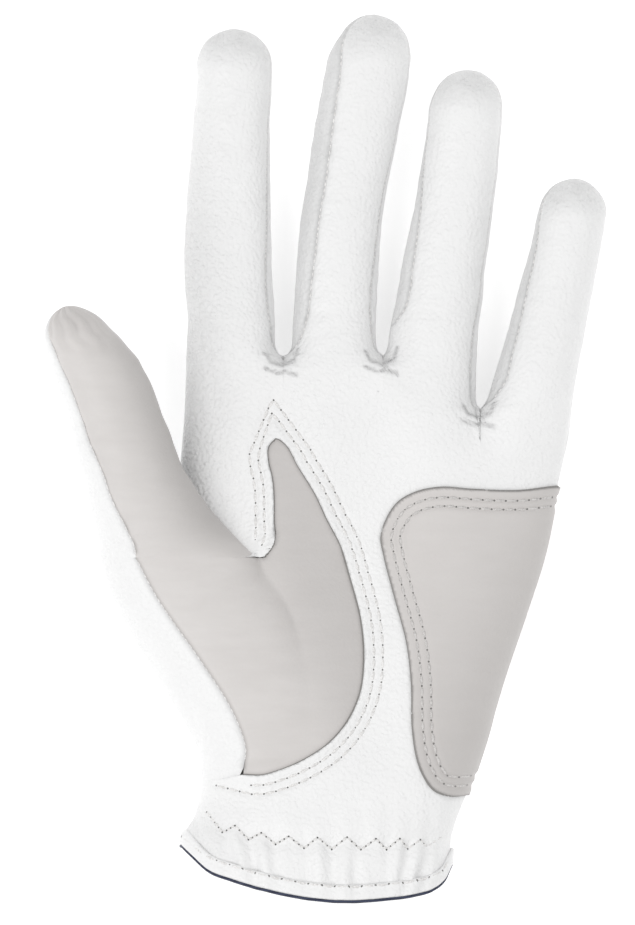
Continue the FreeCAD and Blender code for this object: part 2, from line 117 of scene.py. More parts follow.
BASE_Y = -25.0                      # where the thumb leaves the hand
START_X, START_Y = (13.0, 38.6), (16.6, -2.0)   # where the leather begins to divide into fingers
BALL_Y = (-84, -72, -55, -40, -25)  # the ball of the thumb: its centre, half width and height
BALL = dict(right=(2.0, -1.0, -4.0, -8.5, -15.6), level=(18.0, 19.0, 20.0, 21.0, 21.5),
            up=(9.0, 12.2, 13.2, 13.4, 12.6), down=(9.0, 12.0, 14.0, 12.5, 10.0))


def hand_edges(y):
    """The hand's left and right edges, without the ball of the thumb."""
    return through(y, ROWS_Y, HAND_LEFT), through(y, RIGHT_Y, HAND_RIGHT)


def finger_start(x):
    """How far up the hand is one surface, before its fingers' own surfaces start."""
    return np.interp(x, START_X, START_Y)


def palm_relief(x, y):
    """What the palm's form adds to the plain rounded section, in millimetres: the hollow of the palm, the
    heel below the little finger, the pads under the fingers, and slight unevenness."""
    hollow = -3.4 * np.exp(-((x - 9) / 19) ** 2 - ((y + 26) / 24) ** 2)
    lower = -1.6 * np.exp(-((x - 12) / 9) ** 2 - ((y + 62) / 20) ** 2)
    heel = 1.8 * np.exp(-((x - 38) / 16) ** 2 - ((y + 44) / 26) ** 2)
    pads = 0.8 * np.exp(-((y - 6) / 8) ** 2) * np.cos((x + 11) / 24.8 * 2 * PI + PI)
    web = -2.2 * np.exp(-((x + 26) / 9) ** 2 - ((y + 12) / 12) ** 2)
    return hollow + lower + heel + pads + web + 0.16 * ripple(x, y, 3, 19.0)


def hand_height(x, y, front):
    """Height of the hand's front or back at a plan point: level + depth (1 - |t|^n)^(1/n), with t the
    place between the section's edges and n 2.6, joined to the ball of the thumb by a rounded maximum."""
    left, right = hand_edges(y)
    low, high = through(y, ROWS_Y, HAND_LOW), through(y, ROWS_Y, HAND_HIGH)
    level = (low + high) / 2
    t = (x - (left + right) / 2) / ((right - left) / 2)
    inside = np.clip(1 - np.abs(t) ** 2.6, 0, 1)
    fall = 60 * np.clip(np.abs(t) - 1, 0, None)
    depth = np.where(front, high - level, level - low)
    shape = depth * inside ** (1 / 2.6) - fall
    centre_weight = rise(0, 0.75, inside)
    shape = shape + np.where(front, palm_relief(x, y) * centre_weight, 0)
    outer, inner = through(y, OUTER_Y, OUTER_LEFT), through(y, BALL_Y, BALL["right"])
    u = (x - (outer + inner) / 2) / ((inner - outer) / 2)
    ball_level = through(y, BALL_Y, BALL["level"])
    reach = np.where(front, through(y, BALL_Y, BALL["up"]), through(y, BALL_Y, BALL["down"]))
    dome = reach * np.sqrt(np.clip(1 - u * u, 0, 1)) - 40 * np.clip(np.abs(u) - 1, 0, None)
    k = 9 * rise(BASE_Y - 0.5, BASE_Y - 16, y)
    present = (y <= BASE_Y + 1e-6) & (y > -92)
    fade = 30 * (1 - rise(-92, -74, y))
    top = np.where(present, soft_max(level + shape, ball_level + dome - fade, k), level + shape)
    bottom = np.where(present, -soft_max(-(level - shape), -(ball_level - dome + fade), k), level - shape)
    return np.where(front, top, bottom)


RIM_X = (-36.5, -33.5, -30.0, -23.5, -14.8, -2.4, 5.5, 15.0, 22.0, 26.4, 29.5, 31.3)
RIM_Y = (-97.0, -99.6, -102.6, -105.2, -107.7, -110.0, -110.5, -109.9, -109.0, -107.7, -105.2, -101.5)


WRIST_MIDDLE, WRIST_HALF = -2.9, 34.1


def rim(turn):
    """The cuff's edge: how far down it reaches at each angle round the wrist. The back is shorter."""
    x = WRIST_MIDDLE + WRIST_HALF * np.cos(turn)
    on_the_back = -99.25 - 2.25 * np.cos(turn) + 0.8 * np.sin(turn)
    return np.where(np.sin(turn) >= 0, through(x, RIM_X, RIM_Y), on_the_back)


# ---- meshes -------------------------------------------------------------------------------------
def facing(P):
    """Unit normals of a grid of points: the cross product of its two directions of change, and towards
    the thumb where points coincide."""
    n = np.cross(np.gradient(P, axis=0), np.gradient(P, axis=1))
    size = np.linalg.norm(n, axis=-1, keepdims=True)
    return np.where(size > 1e-6, n / np.maximum(size, 1e-9), [-1.0, 0.0, 0.0])


def cells(shape, flip=False):
    """The four-cornered faces of a grid."""
    index = np.arange(shape[0] * shape[1]).reshape(shape)
    quads = np.stack([index[:-1, :-1], index[1:, :-1], index[1:, 1:], index[:-1, 1:]], -1).reshape(-1, 4)
    return quads[:, ::-1] if flip else quads


def piece(name, points, faces, normals=None, material=None, marks=None, slot=None, body="hand",
          edge_material=None, edge_from=0):
    """Makes a mesh object from points in millimetres. Points in one place are made one, faces with no
    area are dropped, and the given normals are kept, so that the pieces of one surface shade as one."""
    points = np.asarray(points, float).reshape(-1, 3)
    _, first, same = np.unique(np.round(points * 5e3).astype(np.int64), axis=0, return_index=True,
                               return_inverse=True)
    same = same.reshape(-1)
    kept, kept_from = [], []
    for number, face in enumerate(faces):
        corners = list(dict.fromkeys(same[list(face)].tolist()))
        if len(corners) > 2:
            kept.append(corners)
            kept_from.append(number)
    used = np.unique(np.concatenate([np.asarray(f) for f in kept]))
    place = np.zeros(len(first), int)
    place[used] = np.arange(len(used))
    mesh = bpy.data.meshes.new(name)
    mesh.from_pydata((points[first[used]] / 1000).tolist(), [], [place[f].tolist() for f in kept])
    for key, values in (marks or {}).items():
        layer = mesh.attributes.new(key, "FLOAT", "POINT")
        layer.data.foreach_set("value", np.asarray(values, float).reshape(-1)[first[used]].astype(np.float32))
    mesh.polygons.foreach_set("use_smooth", np.ones(len(mesh.polygons), bool))
    if normals is not None:
        total = np.zeros((len(first), 3))
        np.add.at(total, same, np.asarray(normals, float).reshape(-1, 3))
        mesh.normals_split_custom_set_from_vertices(unit(total)[used].tolist())
    mesh.update()
    obj = bpy.data.objects.new(name, mesh)
    bpy.context.scene.collection.objects.link(obj)
    if material:
        mesh.materials.append(material)
    if edge_material:
        mesh.materials.append(edge_material)
        on_edge = np.asarray(kept_from) >= edge_from
        mesh.polygons.foreach_set("material_index", on_edge.astype(np.int32))
    if body:
        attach(obj, body)
    return obj


REACH = 0.72    # a grid point nearer to an outline than this share of its spacing moves onto it


def away(points, line, closed=True):
    """Signed distance of plan points from a line of plan points, negative inside a closed one, and the
    nearest place on it."""
    a = np.asarray(line, float)
    b = np.roll(a, -1, 0) if closed else a[1:]
    a = a if closed else a[:-1]
    best = np.full(len(points), 1e9)
    near = np.zeros((len(points), 2))
    inside = np.zeros(len(points), bool)
    for p, q in zip(a, b):
        d = q - p
        t = np.clip(((points - p) @ d) / max(d @ d, 1e-12), 0, 1)
        foot = p + t[:, None] * d
        gap = np.linalg.norm(points - foot, axis=1)
        closer = gap < best
        best[closer], near[closer] = gap[closer], foot[closer]
        crosses = (p[1] > points[:, 1]) != (q[1] > points[:, 1])
        at = p[0] + (points[:, 1] - p[1]) / np.where(q[1] == p[1], 1e-9, q[1] - p[1]) * (q[0] - p[0])
        inside ^= crosses & (points[:, 0] < at)
    return np.where(inside & closed, -best, best), near


def split(P, turn, outline, within):
    """Cuts a grid of skin along a plan outline. Grid points near the outline move onto it, and the faces
    on the asked side are kept, halved where only one corner reaches over."""
    flat = P.reshape(-1, 3)
    gap, near = away(flat[:, :2], outline)
    snap = np.abs(gap) < spacing_of(P).reshape(-1) * REACH
    moved = flat.copy()
    new_y = np.where(snap, near[:, 1], flat[:, 1])
    moved[snap] = surface_at(near[:, 0], new_y, turn.reshape(-1))[snap]
    gap[snap] = 0
    side = -gap if within else gap
    quads = cells(P.shape[:2])
    value = side[quads]
    good = (value >= -1e-6).all(1) & (value.max(1) > 1e-6)
    kept = [tuple(q) for q in quads[good]]
    for q in quads[~good & (value.max(1) > 1e-6)]:
        for k in range(2):
            for tri in ((q[k], q[k + 1], q[(k + 2) % 4]), (q[(k + 2) % 4], q[(k + 3) % 4], q[k])):
                v = side[list(tri)]
                if (v >= -1e-6).all() and v.max() > 1e-6:
                    kept.append(tuple(tri))
                    break
            else:
                continue
            break
    return moved.reshape(P.shape), kept, np.abs(gap).reshape(P.shape[:2])


def spacing_of(P):
    """The larger of the two distances in plan from each grid point to its neighbours."""
    a = np.linalg.norm(np.gradient(P, axis=0)[..., :2], axis=-1)
    b = np.linalg.norm(np.gradient(P, axis=1)[..., :2], axis=-1)
    return np.maximum(a, b)


def skirt(P, N, faces, on_edge, depth, spread=0.34):
    """The cut edge of a sheet: a strip from each free edge on the outline down to the leather below, and
    out by the spread, as a skived edge shows."""
    ends = np.array([(f[i], f[(i + 1) % len(f)]) for f in faces for i in range(len(f))])
    key = np.sort(ends, 1)
    _, first, count = np.unique(key, axis=0, return_index=True, return_counts=True)
    free = ends[first[count == 1]]
    free = free[on_edge[free[:, 0]] & on_edge[free[:, 1]]]
    top = P[free]
    run = top[:, 1] - top[:, 0]
    out = unit(np.cross(run, N[free].mean(1)))
    corner, share = np.unique(free.reshape(-1), return_inverse=True)
    mean = np.zeros((len(corner), 3))
    np.add.at(mean, share.reshape(-1), np.repeat(out, 2, 0))
    low = top - depth * N[free] + spread * unit(mean)[share.reshape(-1)].reshape(-1, 2, 3)
    points = np.stack([top[:, 1], top[:, 0], low[:, 0], low[:, 1]], 1).reshape(-1, 3)
    normals = np.repeat(out, 4, 0)
    quads = np.arange(len(points)).reshape(-1, 4)
    return points, normals, quads


def lengths(line):
    """Distance along a line of points, at each point."""
    return np.concatenate([[0], np.cumsum(np.linalg.norm(np.diff(line, axis=0), axis=1))])


def smooth_line(points, count):
    """Evenly spaced points on the smooth curve through plan points, by their distance along it."""
    p = np.asarray(points, float)
    run = lengths(p)
    t = np.linspace(0, run[-1], count * 8)
    fine = np.stack([through(t, run, p[:, k]) for k in range(p.shape[1])], -1)
    return spaced(fine, count)


def spaced(line, count):
    """Evenly spaced points on a line; its columns past the first are carried along with it."""
    run = lengths(line)
    t = np.linspace(0, run[-1], count)
    return np.stack([np.interp(t, run, line[:, k]) for k in range(line.shape[1])], -1)


def beside(line, gap):
    """A plan line moved to its left by the gap."""
    d = unit(np.gradient(line, axis=0))
    return line + gap * np.stack([-d[:, 1], d[:, 0]], -1)


# ---- outlines on the palm -----------------------------------------------------------------------
THUMB_SEAM = smooth_line([(-47.6, -25.0), (-43.3, -33.4), (-39.0, -40.1), (-34.7, -46.1), (-30.0, -52.9),
                          (-24.4, -61.6), (-21.4, -68.1), (-20.1, -73.1), (-20.7, -77.4)], 70)
STITCHED_EDGE = smooth_line([(-20.7, -79.2), (-16.0, -79.3), (-11.7, -78.1), (-4.5, -74.9), (1.0, -71.1),
                             (6.0, -64.9), (8.5, -59.1), (9.6, -50.1), (9.0, -41.6), (6.0, -29.6),
                             (3.5, -21.6), (0.5, -15.9), (-2.7, -9.1), (-7.0, -2.1), (-10.2, 3.4),
                             (-12.4, 5.0)], 150)
WEDGE_EDGE = smooth_line([(-12.4, 5.0), (-14.4, 2.6), (-14.4, -1.0), (-13.5, -4.9), (-13.0, -15.4),
                          (-13.2, -22.0), (-15.5, -25.0)], 60)
GREY = np.vstack([THUMB_SEAM, STITCHED_EDGE, WEDGE_EDGE[1:]])
SIDE_STRIP = np.vstack([THUMB_SEAM, [(-21.5, -79.4), (-26.0, -80.3), (-34.0, -81.0), (-80.0, -81.0),
                                     (-80.0, -25.0)]])
HEEL_EDGE = smooth_line([(66.0, -7.6), (58.7, -7.3), (48.5, -8.4), (36.2, -8.1), (28.5, -7.6), (23.0, -8.6),
                         (18.2, -11.2), (15.2, -15.6), (13.9, -20.0), (14.6, -24.2), (17.2, -34.4),
                         (20.5, -47.1), (21.5, -56.1), (21.8, -68.4), (22.8, -74.9), (24.3, -79.1),
                         (27.0, -82.9), (31.5, -84.4), (35.5, -84.0), (43.0, -83.2)], 190)
HEEL = np.vstack([HEEL_EDGE, [(90.0, -83.2), (90.0, -7.6)]])
ROW_GAPS = (2.4, 4.6)
RIGHT_TURN, LEFT_TURN = math.radians(-30), math.radians(200)


def thumb_rows(gap):
    """The line of one stitching row round the thumb piece: beside its edge, up to a point above the wedge
    and down the wedge's other side."""
    right = beside(STITCHED_EDGE[3:-9], -gap)
    right = np.vstack([[(-27.6, -80.0 - 0.4 * gap)], right]) if gap > 3 else right
    left = beside(WEDGE_EDGE[9:-4], -gap)
    peak = np.array([[-13.4, 7.6 + 1.55 * gap]])
    return spaced(np.vstack([right, peak, left]), 400)


THUMB_ROWS = [thumb_rows(gap) for gap in ROW_GAPS]
HEEL_ROWS = [spaced(beside(HEEL_EDGE, gap)[4:-3], 400) for gap in ROW_GAPS]


def quilt(points, rows, depth, width):
    """How far the leather is drawn in along rows of stitching: a rounded groove."""
    total = np.zeros(len(points))
    for row in rows:
        close = ((points > row.min(0) - 4) & (points < row.max(0) + 4)).all(1)
        if close.any():
            gap, _ = away(points[close], row[::3], closed=False)
            total[close] -= depth * np.exp(-(gap / width) ** 2)
    return total


# The zigzag's corners, from the thumb's side; its lower corners are where the leather is drawn in.
ZIGZAG = ((-33.0, -91.0), (-29.8, -88.4), (-26.2, -93.3), (-22.8, -91.7), (-19.6, -95.1), (-16.2, -93.5),
          (-12.6, -96.3), (-9.3, -94.4), (-5.5, -97.3), (-2.1, -94.7), (1.5, -97.5), (5.3, -94.6),
          (8.8, -97.7),
          (12.5, -95.0), (15.3, -97.7), (18.5, -95.0), (20.9, -97.5), (23.8, -95.3), (26.0, -97.1),
          (29.0, -94.7))
DRAWN_IN = (-40.2, -33.0, -26.2, -19.6, -12.6, -5.5, 1.5, 8.8, 15.3, 20.9, 26.0, 31.5)
ZIGZAG_MIDDLE = ((-34, -26, -19.6, -9.3, 1.5, 12.5, 25, 30),
                 (-89.5, -92.2, -93.9, -95.8, -96.1, -96.4, -96.3, -95.5))


def gathers(x, y, turn):
    """The wrist's puckers: soft folds that start at the zigzag's lower corners and fan out towards the
    hem, and shallower uneven ones above the zigzag."""
    line = through(x, *ZIGZAG_MIDDLE)
    below = rise(2.5, -2.5, y - line) * rise(-14.5, -8.5, y - line)
    above = rise(15.0, 1.0, y - line) * rise(-2.5, 1.0, y - line)
    spread = x * (1 + 0.012 * np.clip(line - y, 0, 12))
    wave = -np.cos(2 * PI * through(spread, DRAWN_IN, np.arange(len(DRAWN_IN))))
    strength = 0.75 + 0.5 * np.sin(x * 0.31 + 1.0)
    fine = ripple(x, y * 0.25, 21, 5.2)
    uneven = ripple(x, y * 0.2, 22, 9.5)
    pull = -0.75 * np.exp(-((y - line) / 2.6) ** 2)
    return (below * (0.62 * wave * strength + 0.42 * fine) + above * (0.16 * wave + 0.34 * uneven) + pull
            ) * np.clip(np.sin(turn) + 0.35, 0, 1)


def surface_at(x, y, turn):
    """Points of the hand's skin over a place in plan: its front or back as the turn says."""
    left, right = hand_edges(y)
    outer = np.where(y > -78, through(y, OUTER_Y, OUTER_LEFT), left)
    left = np.where(y <= BASE_Y + 1e-6, np.minimum(left, outer), left)
    x = np.clip(x, left, right)
    return np.stack([x, y, hand_height(x, y, np.sin(turn) >= 0)], -1)


def ring_grid(turns, low_rows, high_rows):
    """Points, normals and turns of the hand from the cuff's edge to where the fingers start. Rows are even
    between the curved edge and the thumb's level, and between that and the curved start."""
    v = np.linspace(1, 0, low_rows)[:, None]
    edge = rim(turns)[None, :]
    low_y = BASE_Y + (edge - BASE_Y) * v
    low = surface_at(*ring_plan(turns, low_y), turns + 0 * low_y)
    top = np.full_like(edge, 5.0)
    for _ in range(4):
        top = finger_start(ring_plan(turns, top)[0])
    step = 1 / (high_rows - 1)
    v = np.linspace(-step, 1 + step, high_rows + 2)[:, None]
    high_y = BASE_Y + (top - BASE_Y) * v
    high_y[0] = BASE_Y + 0.02
    high = surface_at(*ring_plan(turns, high_y), turns + 0 * high_y)
    low_n, high_n = facing(low), facing(high)[1:-1]
    P = np.vstack([low, high[2:-1]])
    return P, np.vstack([low_n, high_n[1:]]), turns + 0 * P[..., 0]


def ring_plan(turns, y):
    """Places in plan at turns round the hand: the middle and half width there times the cosine."""
    left, right = hand_edges(y)
    outer = through(y, OUTER_Y, OUTER_LEFT)
    outer = np.where(y > BASE_Y, outer + (left - outer) * rise(BASE_Y, BASE_Y + 9, y), outer)
    left = np.where(y > -78, np.minimum(left, outer), left)
    return (left + right) / 2 + (right - left) / 2 * np.cos(turns), y


def cut_piece(name, grid, outline, within, offset, material, edge=None, depth=0.8, marks=None, slot=None):
    """A panel of the hand: the part of the grid on one side of the outline, moved along its normals by
    the offset, with its cut edge where it has one."""
    P, N, turn = grid
    moved, faces, gap = split(P, turn, outline, within)
    plan = moved.reshape(-1, 3)[:, :2]
    beyond = plan[:, 0] < hand_edges(plan[:, 1])[0] - 0.3
    faces = [f for f in faces if not (beyond[list(f)].any() and plan[list(f), 1].max() > BASE_Y + 1e-3)]
    flat, normal = moved.reshape(-1, 3), N.reshape(-1, 3)
    raised = flat + normal * offset(flat, turn.reshape(-1))[:, None]
    quads = [tuple(f) for f in faces]
    top_faces = len(quads)
    points, normals = raised, true_normals(raised, quads, normal)
    if edge is not None:
        line_gap, _ = away(flat[:, :2], edge, closed=False)
        extra = skirt(raised, normals, faces, (line_gap < 0.02) & (gap.reshape(-1) < 1e-6), depth)
        quads += [tuple(q + len(points)) for q in extra[2]]
        points, normals = np.vstack([points, extra[0]]), np.vstack([normals, extra[1]])
    values = {}
    for key, function in (marks or {}).items():
        value = function(flat)
        values[key] = np.concatenate([value, np.zeros(len(points) - len(flat))])
    edge_material = None if edge is None else CUT_EDGE
    return piece(name, points, quads, normals, material, values, slot, "hand", edge_material, top_faces)


def true_normals(points, faces, old):
    """Normals of a moved sheet: the mean of its faces' normals at each point, and the old normal where
    the sheet ends, so that it still shades as one with its neighbour."""
    total = np.zeros_like(points)
    for size in (3, 4):
        f = np.array([q for q in faces if len(q) == size])
        if not len(f):
            continue
        n = np.cross(points[f[:, 1]] - points[f[:, 0]], points[f[:, -1]] - points[f[:, 0]])
        for k in range(size):
            np.add.at(total, f[:, k], n)
    length = np.linalg.norm(total, axis=1, keepdims=True)
    fresh = np.where(length > 1e-9, total / np.maximum(length, 1e-9), old)
    agree = np.sign((fresh * old).sum(1, keepdims=True))
    return np.where(agree == 0, 1, agree) * fresh


# ---- fingers ------------------------------------------------------------------------------------
# Each finger: knots of y, centre and half width; its tip and how long the tip's dome is; the seams'
# angles in degrees along it, on the little-finger side and on the thumb side.
SHAPE = {
    "index": dict(y=(26, 31.9, 46.9, 61.9, 76.9, 84.4, 91.9, 99),
                  c=(-23.7, -23.6, -24.5, -24.4, -23.9, -23.6, -23.0, -22.9),
                  w=(11.0, 10.9, 11.0, 10.6, 9.9, 9.6, 9.4, 9.5), tip=107.4, dome=9.6,
                  right=((25.4, 28, 33, 60, 90, 107), (0, 14, 24, 22, 12, 10)), left=None),
    "middle": dict(y=(25, 31.9, 46.9, 61.9, 69.4, 76.9, 84.4, 91.9, 99, 106),
                   c=(2.0, 2.1, 2.9, 4.2, 5.5, 6.8, 8.1, 9.6, 10.7, 11.9),
                   w=(10.6, 10.4, 10.3, 10.2, 10.2, 10.5, 10.6, 10.7, 10.5, 10.2), tip=111.0, dome=12.6,
                   right=((25.4, 28, 33, 60, 90, 110), (0, 14, 24, 20, 12, 10)),
                   left=((25.4, 27, 29.5, 35, 44, 90, 100, 107), (180, 166, 148, 134, 129, 129, 134, 152))),
    "ring": dict(y=(12, 25, 31.9, 39.4, 46.9, 54.4, 61.9, 69.4, 76.9, 84.4, 92),
                 c=(26.0, 26.6, 27.1, 28.4, 29.3, 30.6, 31.9, 33.0, 34.0, 34.8, 35.4),
                 w=(11.4, 11.2, 11.1, 10.8, 10.5, 10.3, 9.9, 9.8, 9.5, 9.3, 9.0), tip=97.2, dome=9.8,
                 right=((12.4, 15, 22, 50, 80, 97), (0, 14, 24, 18, 12, 10)),
                 left=((25.8, 27, 30, 36, 44, 60, 77, 97), (180, 164, 146, 138, 139, 150, 168, 172))),
    "little": dict(y=(12, 20.6, 28.1, 35.6, 43.1, 50.6, 58.1, 63),
                   c=(50.6, 52.5, 54.4, 56.1, 57.8, 59.6, 61.1, 61.9),
                   w=(10.9, 10.3, 9.9, 9.5, 9.3, 8.9, 8.7, 8.6), tip=69.9, dome=9.6, right=None,
                   left=((12.4, 14, 17, 26, 36, 52, 62, 69), (180, 160, 142, 139, 141, 150, 162, 168))),
}
CROTCH = {("index", "middle"): (-10.7, 25.4), ("middle", "ring"): (14.3, 25.8),
          ("ring", "little"): (38.6, 12.4)}
CROTCH_ROUND = 3.4
FINGER_STEP = 0.62                  # between a finger's rows
HEIGHT_Y = (-2, 13, 26, 46, 70, 112)
MIDDLE_Z = (13.2, 12.8, 12.0, 10.3, 9.8, 9.3)
FRONT_D = (12.0, 11.3, 10.7, 9.9, 9.4, 8.6)
BACK_D = (11.8, 11.5, 10.8, 9.6, 9.1, 8.2)
JOINT = {j["name"]: j for j in frame["joints"]}


def joint_y(name):
    """Where a joint lies along Y, in millimetres."""
    return JOINT[name]["pos_m"][1] * 1000


def crotches(name):
    """The crotch on the finger's thumb side and the one on its little-finger side, if it has them."""
    return (next((v for k, v in CROTCH.items() if k[1] == name), None),
            next((v for k, v in CROTCH.items() if k[0] == name), None))


def dome_part(name, y):
    """How far into its tip's dome a finger is: 0 before it and 1 at the tip."""
    s = SHAPE[name]
    return np.clip((y - (s["tip"] - s["dome"])) / s["dome"], 0, 1)


def finger_edges(name, y):
    """Left and right edges of a finger. At a crotch the gap to the neighbour closes on a quarter circle,
    and on an outer side the edge runs into the hand's own; over the tip's dome the half width is its
    full value times sqrt(1 - t^2)."""
    s = SHAPE[name]
    centre = through(y, s["y"], s["c"])
    half = through(y, s["y"], s["w"]) * np.sqrt(1 - dome_part(name, y) ** 2)
    edges = []
    for crotch, sign, hand in zip(crotches(name), (-1, 1), hand_edges(y)):
        edge = centre + sign * half
        if crotch is None:
            reach = (17, 36) if name == "index" else (-1.5, 24)
            edge = hand + (edge - hand) * rise(*reach, y)
        else:
            t = np.clip((y - crotch[1]) / CROTCH_ROUND, 0, 1)
            edge = crotch[0] + (edge - crotch[0]) * np.sqrt(1 - (1 - t) ** 2)
        edges.append(edge)
    return edges


def seam_angles(name, y):
    """Where the front, the two side strips and the back meet, as four angles round the finger."""
    s = SHAPE[name]
    if s["right"]:
        right = np.radians(through(y, *s["right"]))
        open_right = np.clip(right / math.radians(18), 0, 1)
        back_right = 2 * PI - open_right * math.radians(42)
    else:
        right = np.full_like(y, RIGHT_TURN)
        back_right = 2 * PI + right
    if s["left"]:
        left = np.radians(through(y, *s["left"]))
        back_left = PI + np.clip((PI - left) / math.radians(25), 0, 1) * math.radians(38)
    else:
        left = back_left = np.full_like(y, LEFT_TURN)
    return right, left, back_left, back_right


def finger_grid(name):
    """The whole finger from the hand to its tip, as blocks of columns: front, left strip, back, right
    strip. x = centre + half width cos(angle), z = middle + depth sin(angle); before a crotch z passes
    smoothly into the hand's own height. Returns points, normals, blocks and how far the skin lies in."""
    s = SHAPE[name]
    start = s["tip"] - s["dome"]
    rows = int((start - 5) / FINGER_STEP)
    v = np.linspace(0, 1, rows)[:-1, None]
    dome_y = start + s["dome"] * np.sin(np.linspace(0, PI / 2, 20))[:, None]
    y = np.vstack([finger_start(s["c"][0]) * (1 - v) + start * v, dome_y])
    order = ("front", "left", "back", "right")
    angles = seam_angles(name, y)
    borders = dict(zip(order, zip(angles, angles[1:] + (angles[0] + 2 * PI,))))
    blocks, parts, total = {}, [], 0
    for key, columns in zip(order, (60, 16, 44, 16)):
        a, b = borders[key]
        if np.abs(b - a).max() < 1e-6:
            continue
        parts.append(a + (b - a) * np.linspace(0, 1, columns)[None, :])
        blocks[key] = slice(total, total + columns)
        total += columns
    angle = np.hstack(parts)
    y = y + 0 * angle
    for _ in range(4):
        lo, hi = finger_edges(name, y)
        x = (lo + hi) / 2 + (hi - lo) / 2 * np.cos(angle)
        y[:rows - 1] = finger_start(x[0]) * (1 - v) + start * v
    front = np.sin(angle) >= -1e-9
    cap = np.sqrt(1 - dome_part(name, y) ** 2)
    depth = np.where(front, through(y, HEIGHT_Y, FRONT_D), through(y, HEIGHT_Y, BACK_D)) * cap
    middle = through(y, HEIGHT_Y, MIDDLE_Z) - 0.8 * dome_part(name, y) ** 2
    own = middle + depth * np.sign(np.sin(angle)) * np.abs(np.sin(angle)) ** 0.9
    hand = hand_height(x, y, front)
    outer = (17, 35) if name == "index" else (-1.5, 22)
    mix = [rise(*outer, y) if c is None else rise(c[1] - 3.2, c[1], y) for c in crotches(name)]
    begun = finger_start(x[0])[None, :]
    slow = [m if c is None else rise(0, 20, y - begun) for c, m in zip(crotches(name), mix)]
    toward = rise(0.1, 0.9, (1 + np.cos(angle)) / 2)
    beside_gap = np.abs(np.cos(angle)) ** 3
    m = beside_gap * (mix[0] + (mix[1] - mix[0]) * toward) + (1 - beside_gap) * (
        slow[0] + (slow[1] - slow[0]) * toward)
    P = np.stack([x, y, hand + (own - hand) * m], -1)
    N = tube_normals(P, angle)
    inward = np.zeros(angle.shape)
    for seam, other in ((0, 3), (1, 2), (2, 1), (3, 0)):
        wide = np.abs((angles[seam] - angles[other] + PI) % (2 * PI) - PI)
        strip = s["right"] if seam in (0, 3) else s["left"]
        live = rise(0.05, 0.3, wide) if strip else 1.0
        around = np.abs((angle - angles[seam] + PI) % (2 * PI) - PI)
        groove = 0.45 * np.exp(-(around * (hi - lo) / 2 / 0.75) ** 2)
        inward = np.maximum(inward, groove * live * (1 - 0.6 * dome_part(name, y)))
    across = rise(0.0, 0.5, np.sin(angle))
    base, bend = joint_y(name + "_base_bend"), joint_y(name + "_middle_bend")
    for centre, depth_mm in ((bend, 0.10), (bend + 3.4, 0.05), (bend - 3.0, 0.06), (base + 1.0, 0.05)):
        bow = centre + 0.8 * np.cos(angle) ** 2 + 0.4 * np.sin(x * 0.9 + centre)
        inward += depth_mm * np.exp(-((y - bow) / 0.8) ** 2) * across
    wrinkle = np.cos(y * 2 * PI / 1.7 + 1.4 * np.sin(x * 0.7) + 0.6 * np.sin(y * 0.9))
    inward += 0.07 * rise(s["tip"] - 15, s["tip"] - 5, y) * wrinkle * across * cap
    inward += 0.12 * ripple(x, y * 1.5, 40 + FINGERS.index(name), 9.0) * rise(0, 12, y - 14)
    P = P - N * inward[..., None]
    return P, tube_normals(P, angle), blocks, inward


def tube_normals(P, angle):
    """Normals of a closed tube whose blocks of columns share their border columns: the cross product of
    its two directions of change, and straight out where the columns meet."""
    du = np.gradient(P, axis=0)
    wide = np.concatenate([P[:, -3:-1], P, P[:, 1:3]], 1)
    n = np.cross(du, wide[:, 4:] - wide[:, :-4])
    size = np.linalg.norm(n, axis=-1, keepdims=True)
    out = np.stack([np.cos(angle), 0 * angle, np.sin(angle)], -1)
    n = np.where(size > 1e-5, n / np.maximum(size, 1e-9), out)
    tip = n[-2].mean(0)
    n[-1] = tip / np.linalg.norm(tip)
    return n


# ---- thumb --------------------------------------------------------------------------------------
THUMB_ROOT = np.array([-27.0, -62.0])
ALONG, ACROSS = np.array([-0.343, 0.939]), np.array([0.939, 0.343])
LEFT_S = (33.7, 41.6, 49.1, 56.8, 64.4, 72.2, 79.7, 88)
LEFT_A = (-15.4, -15.1, -13.7, -13.1, -11.9, -11.4, -10.3, -10.0)
RIGHT_S = (47.4, 53.8, 58.8, 67.4, 75.7, 79.5, 83.7, 88)
RIGHT_A = (14.9, 13.3, 12.2, 12.2, 11.9, 12.0, 11.7, 11.1)
THUMB_TIP, THUMB_DOME = 106.8, 18.8
TIP_T = (0, 0.24, 0.41, 0.52, 0.66, 0.86, 0.94, 1.2, 1.28, PI / 2)
TIP_RIGHT = (11.1, 9.5, 8.3, 7.4, 6.5, 4.9, 4.1, 1.6, 0.9, -2.0)
TIP_LEFT = (-10.0, -10.0, -9.9, -9.8, -9.6, -8.8, -8.3, -6.1, -5.3, -2.0)
THUMB_Z_S, THUMB_Z = (25, 44, 58, 74, 94, 107), (21.5, 21.8, 23.4, 24.9, 25.2, 23.6)
UP_S, UP, DOWN = (25, 44, 60, 80, 107), (12.6, 12.5, 12.0, 11.2, 9.6), (10.0, 10.2, 11.0, 10.6, 9.2)
SEAM_S, SEAM = (25, 47, 56, 66, 80, 92, 100, 107), (124, 118, 123, 129, 139, 142, 147, 160)
FAN_START, FIRST_ROW = 25.0, 47.4   # along the thumb: the ball's end, and the first row square to it
FAN_ROWS, THUMB_ROWS_COUNT = 34, 66


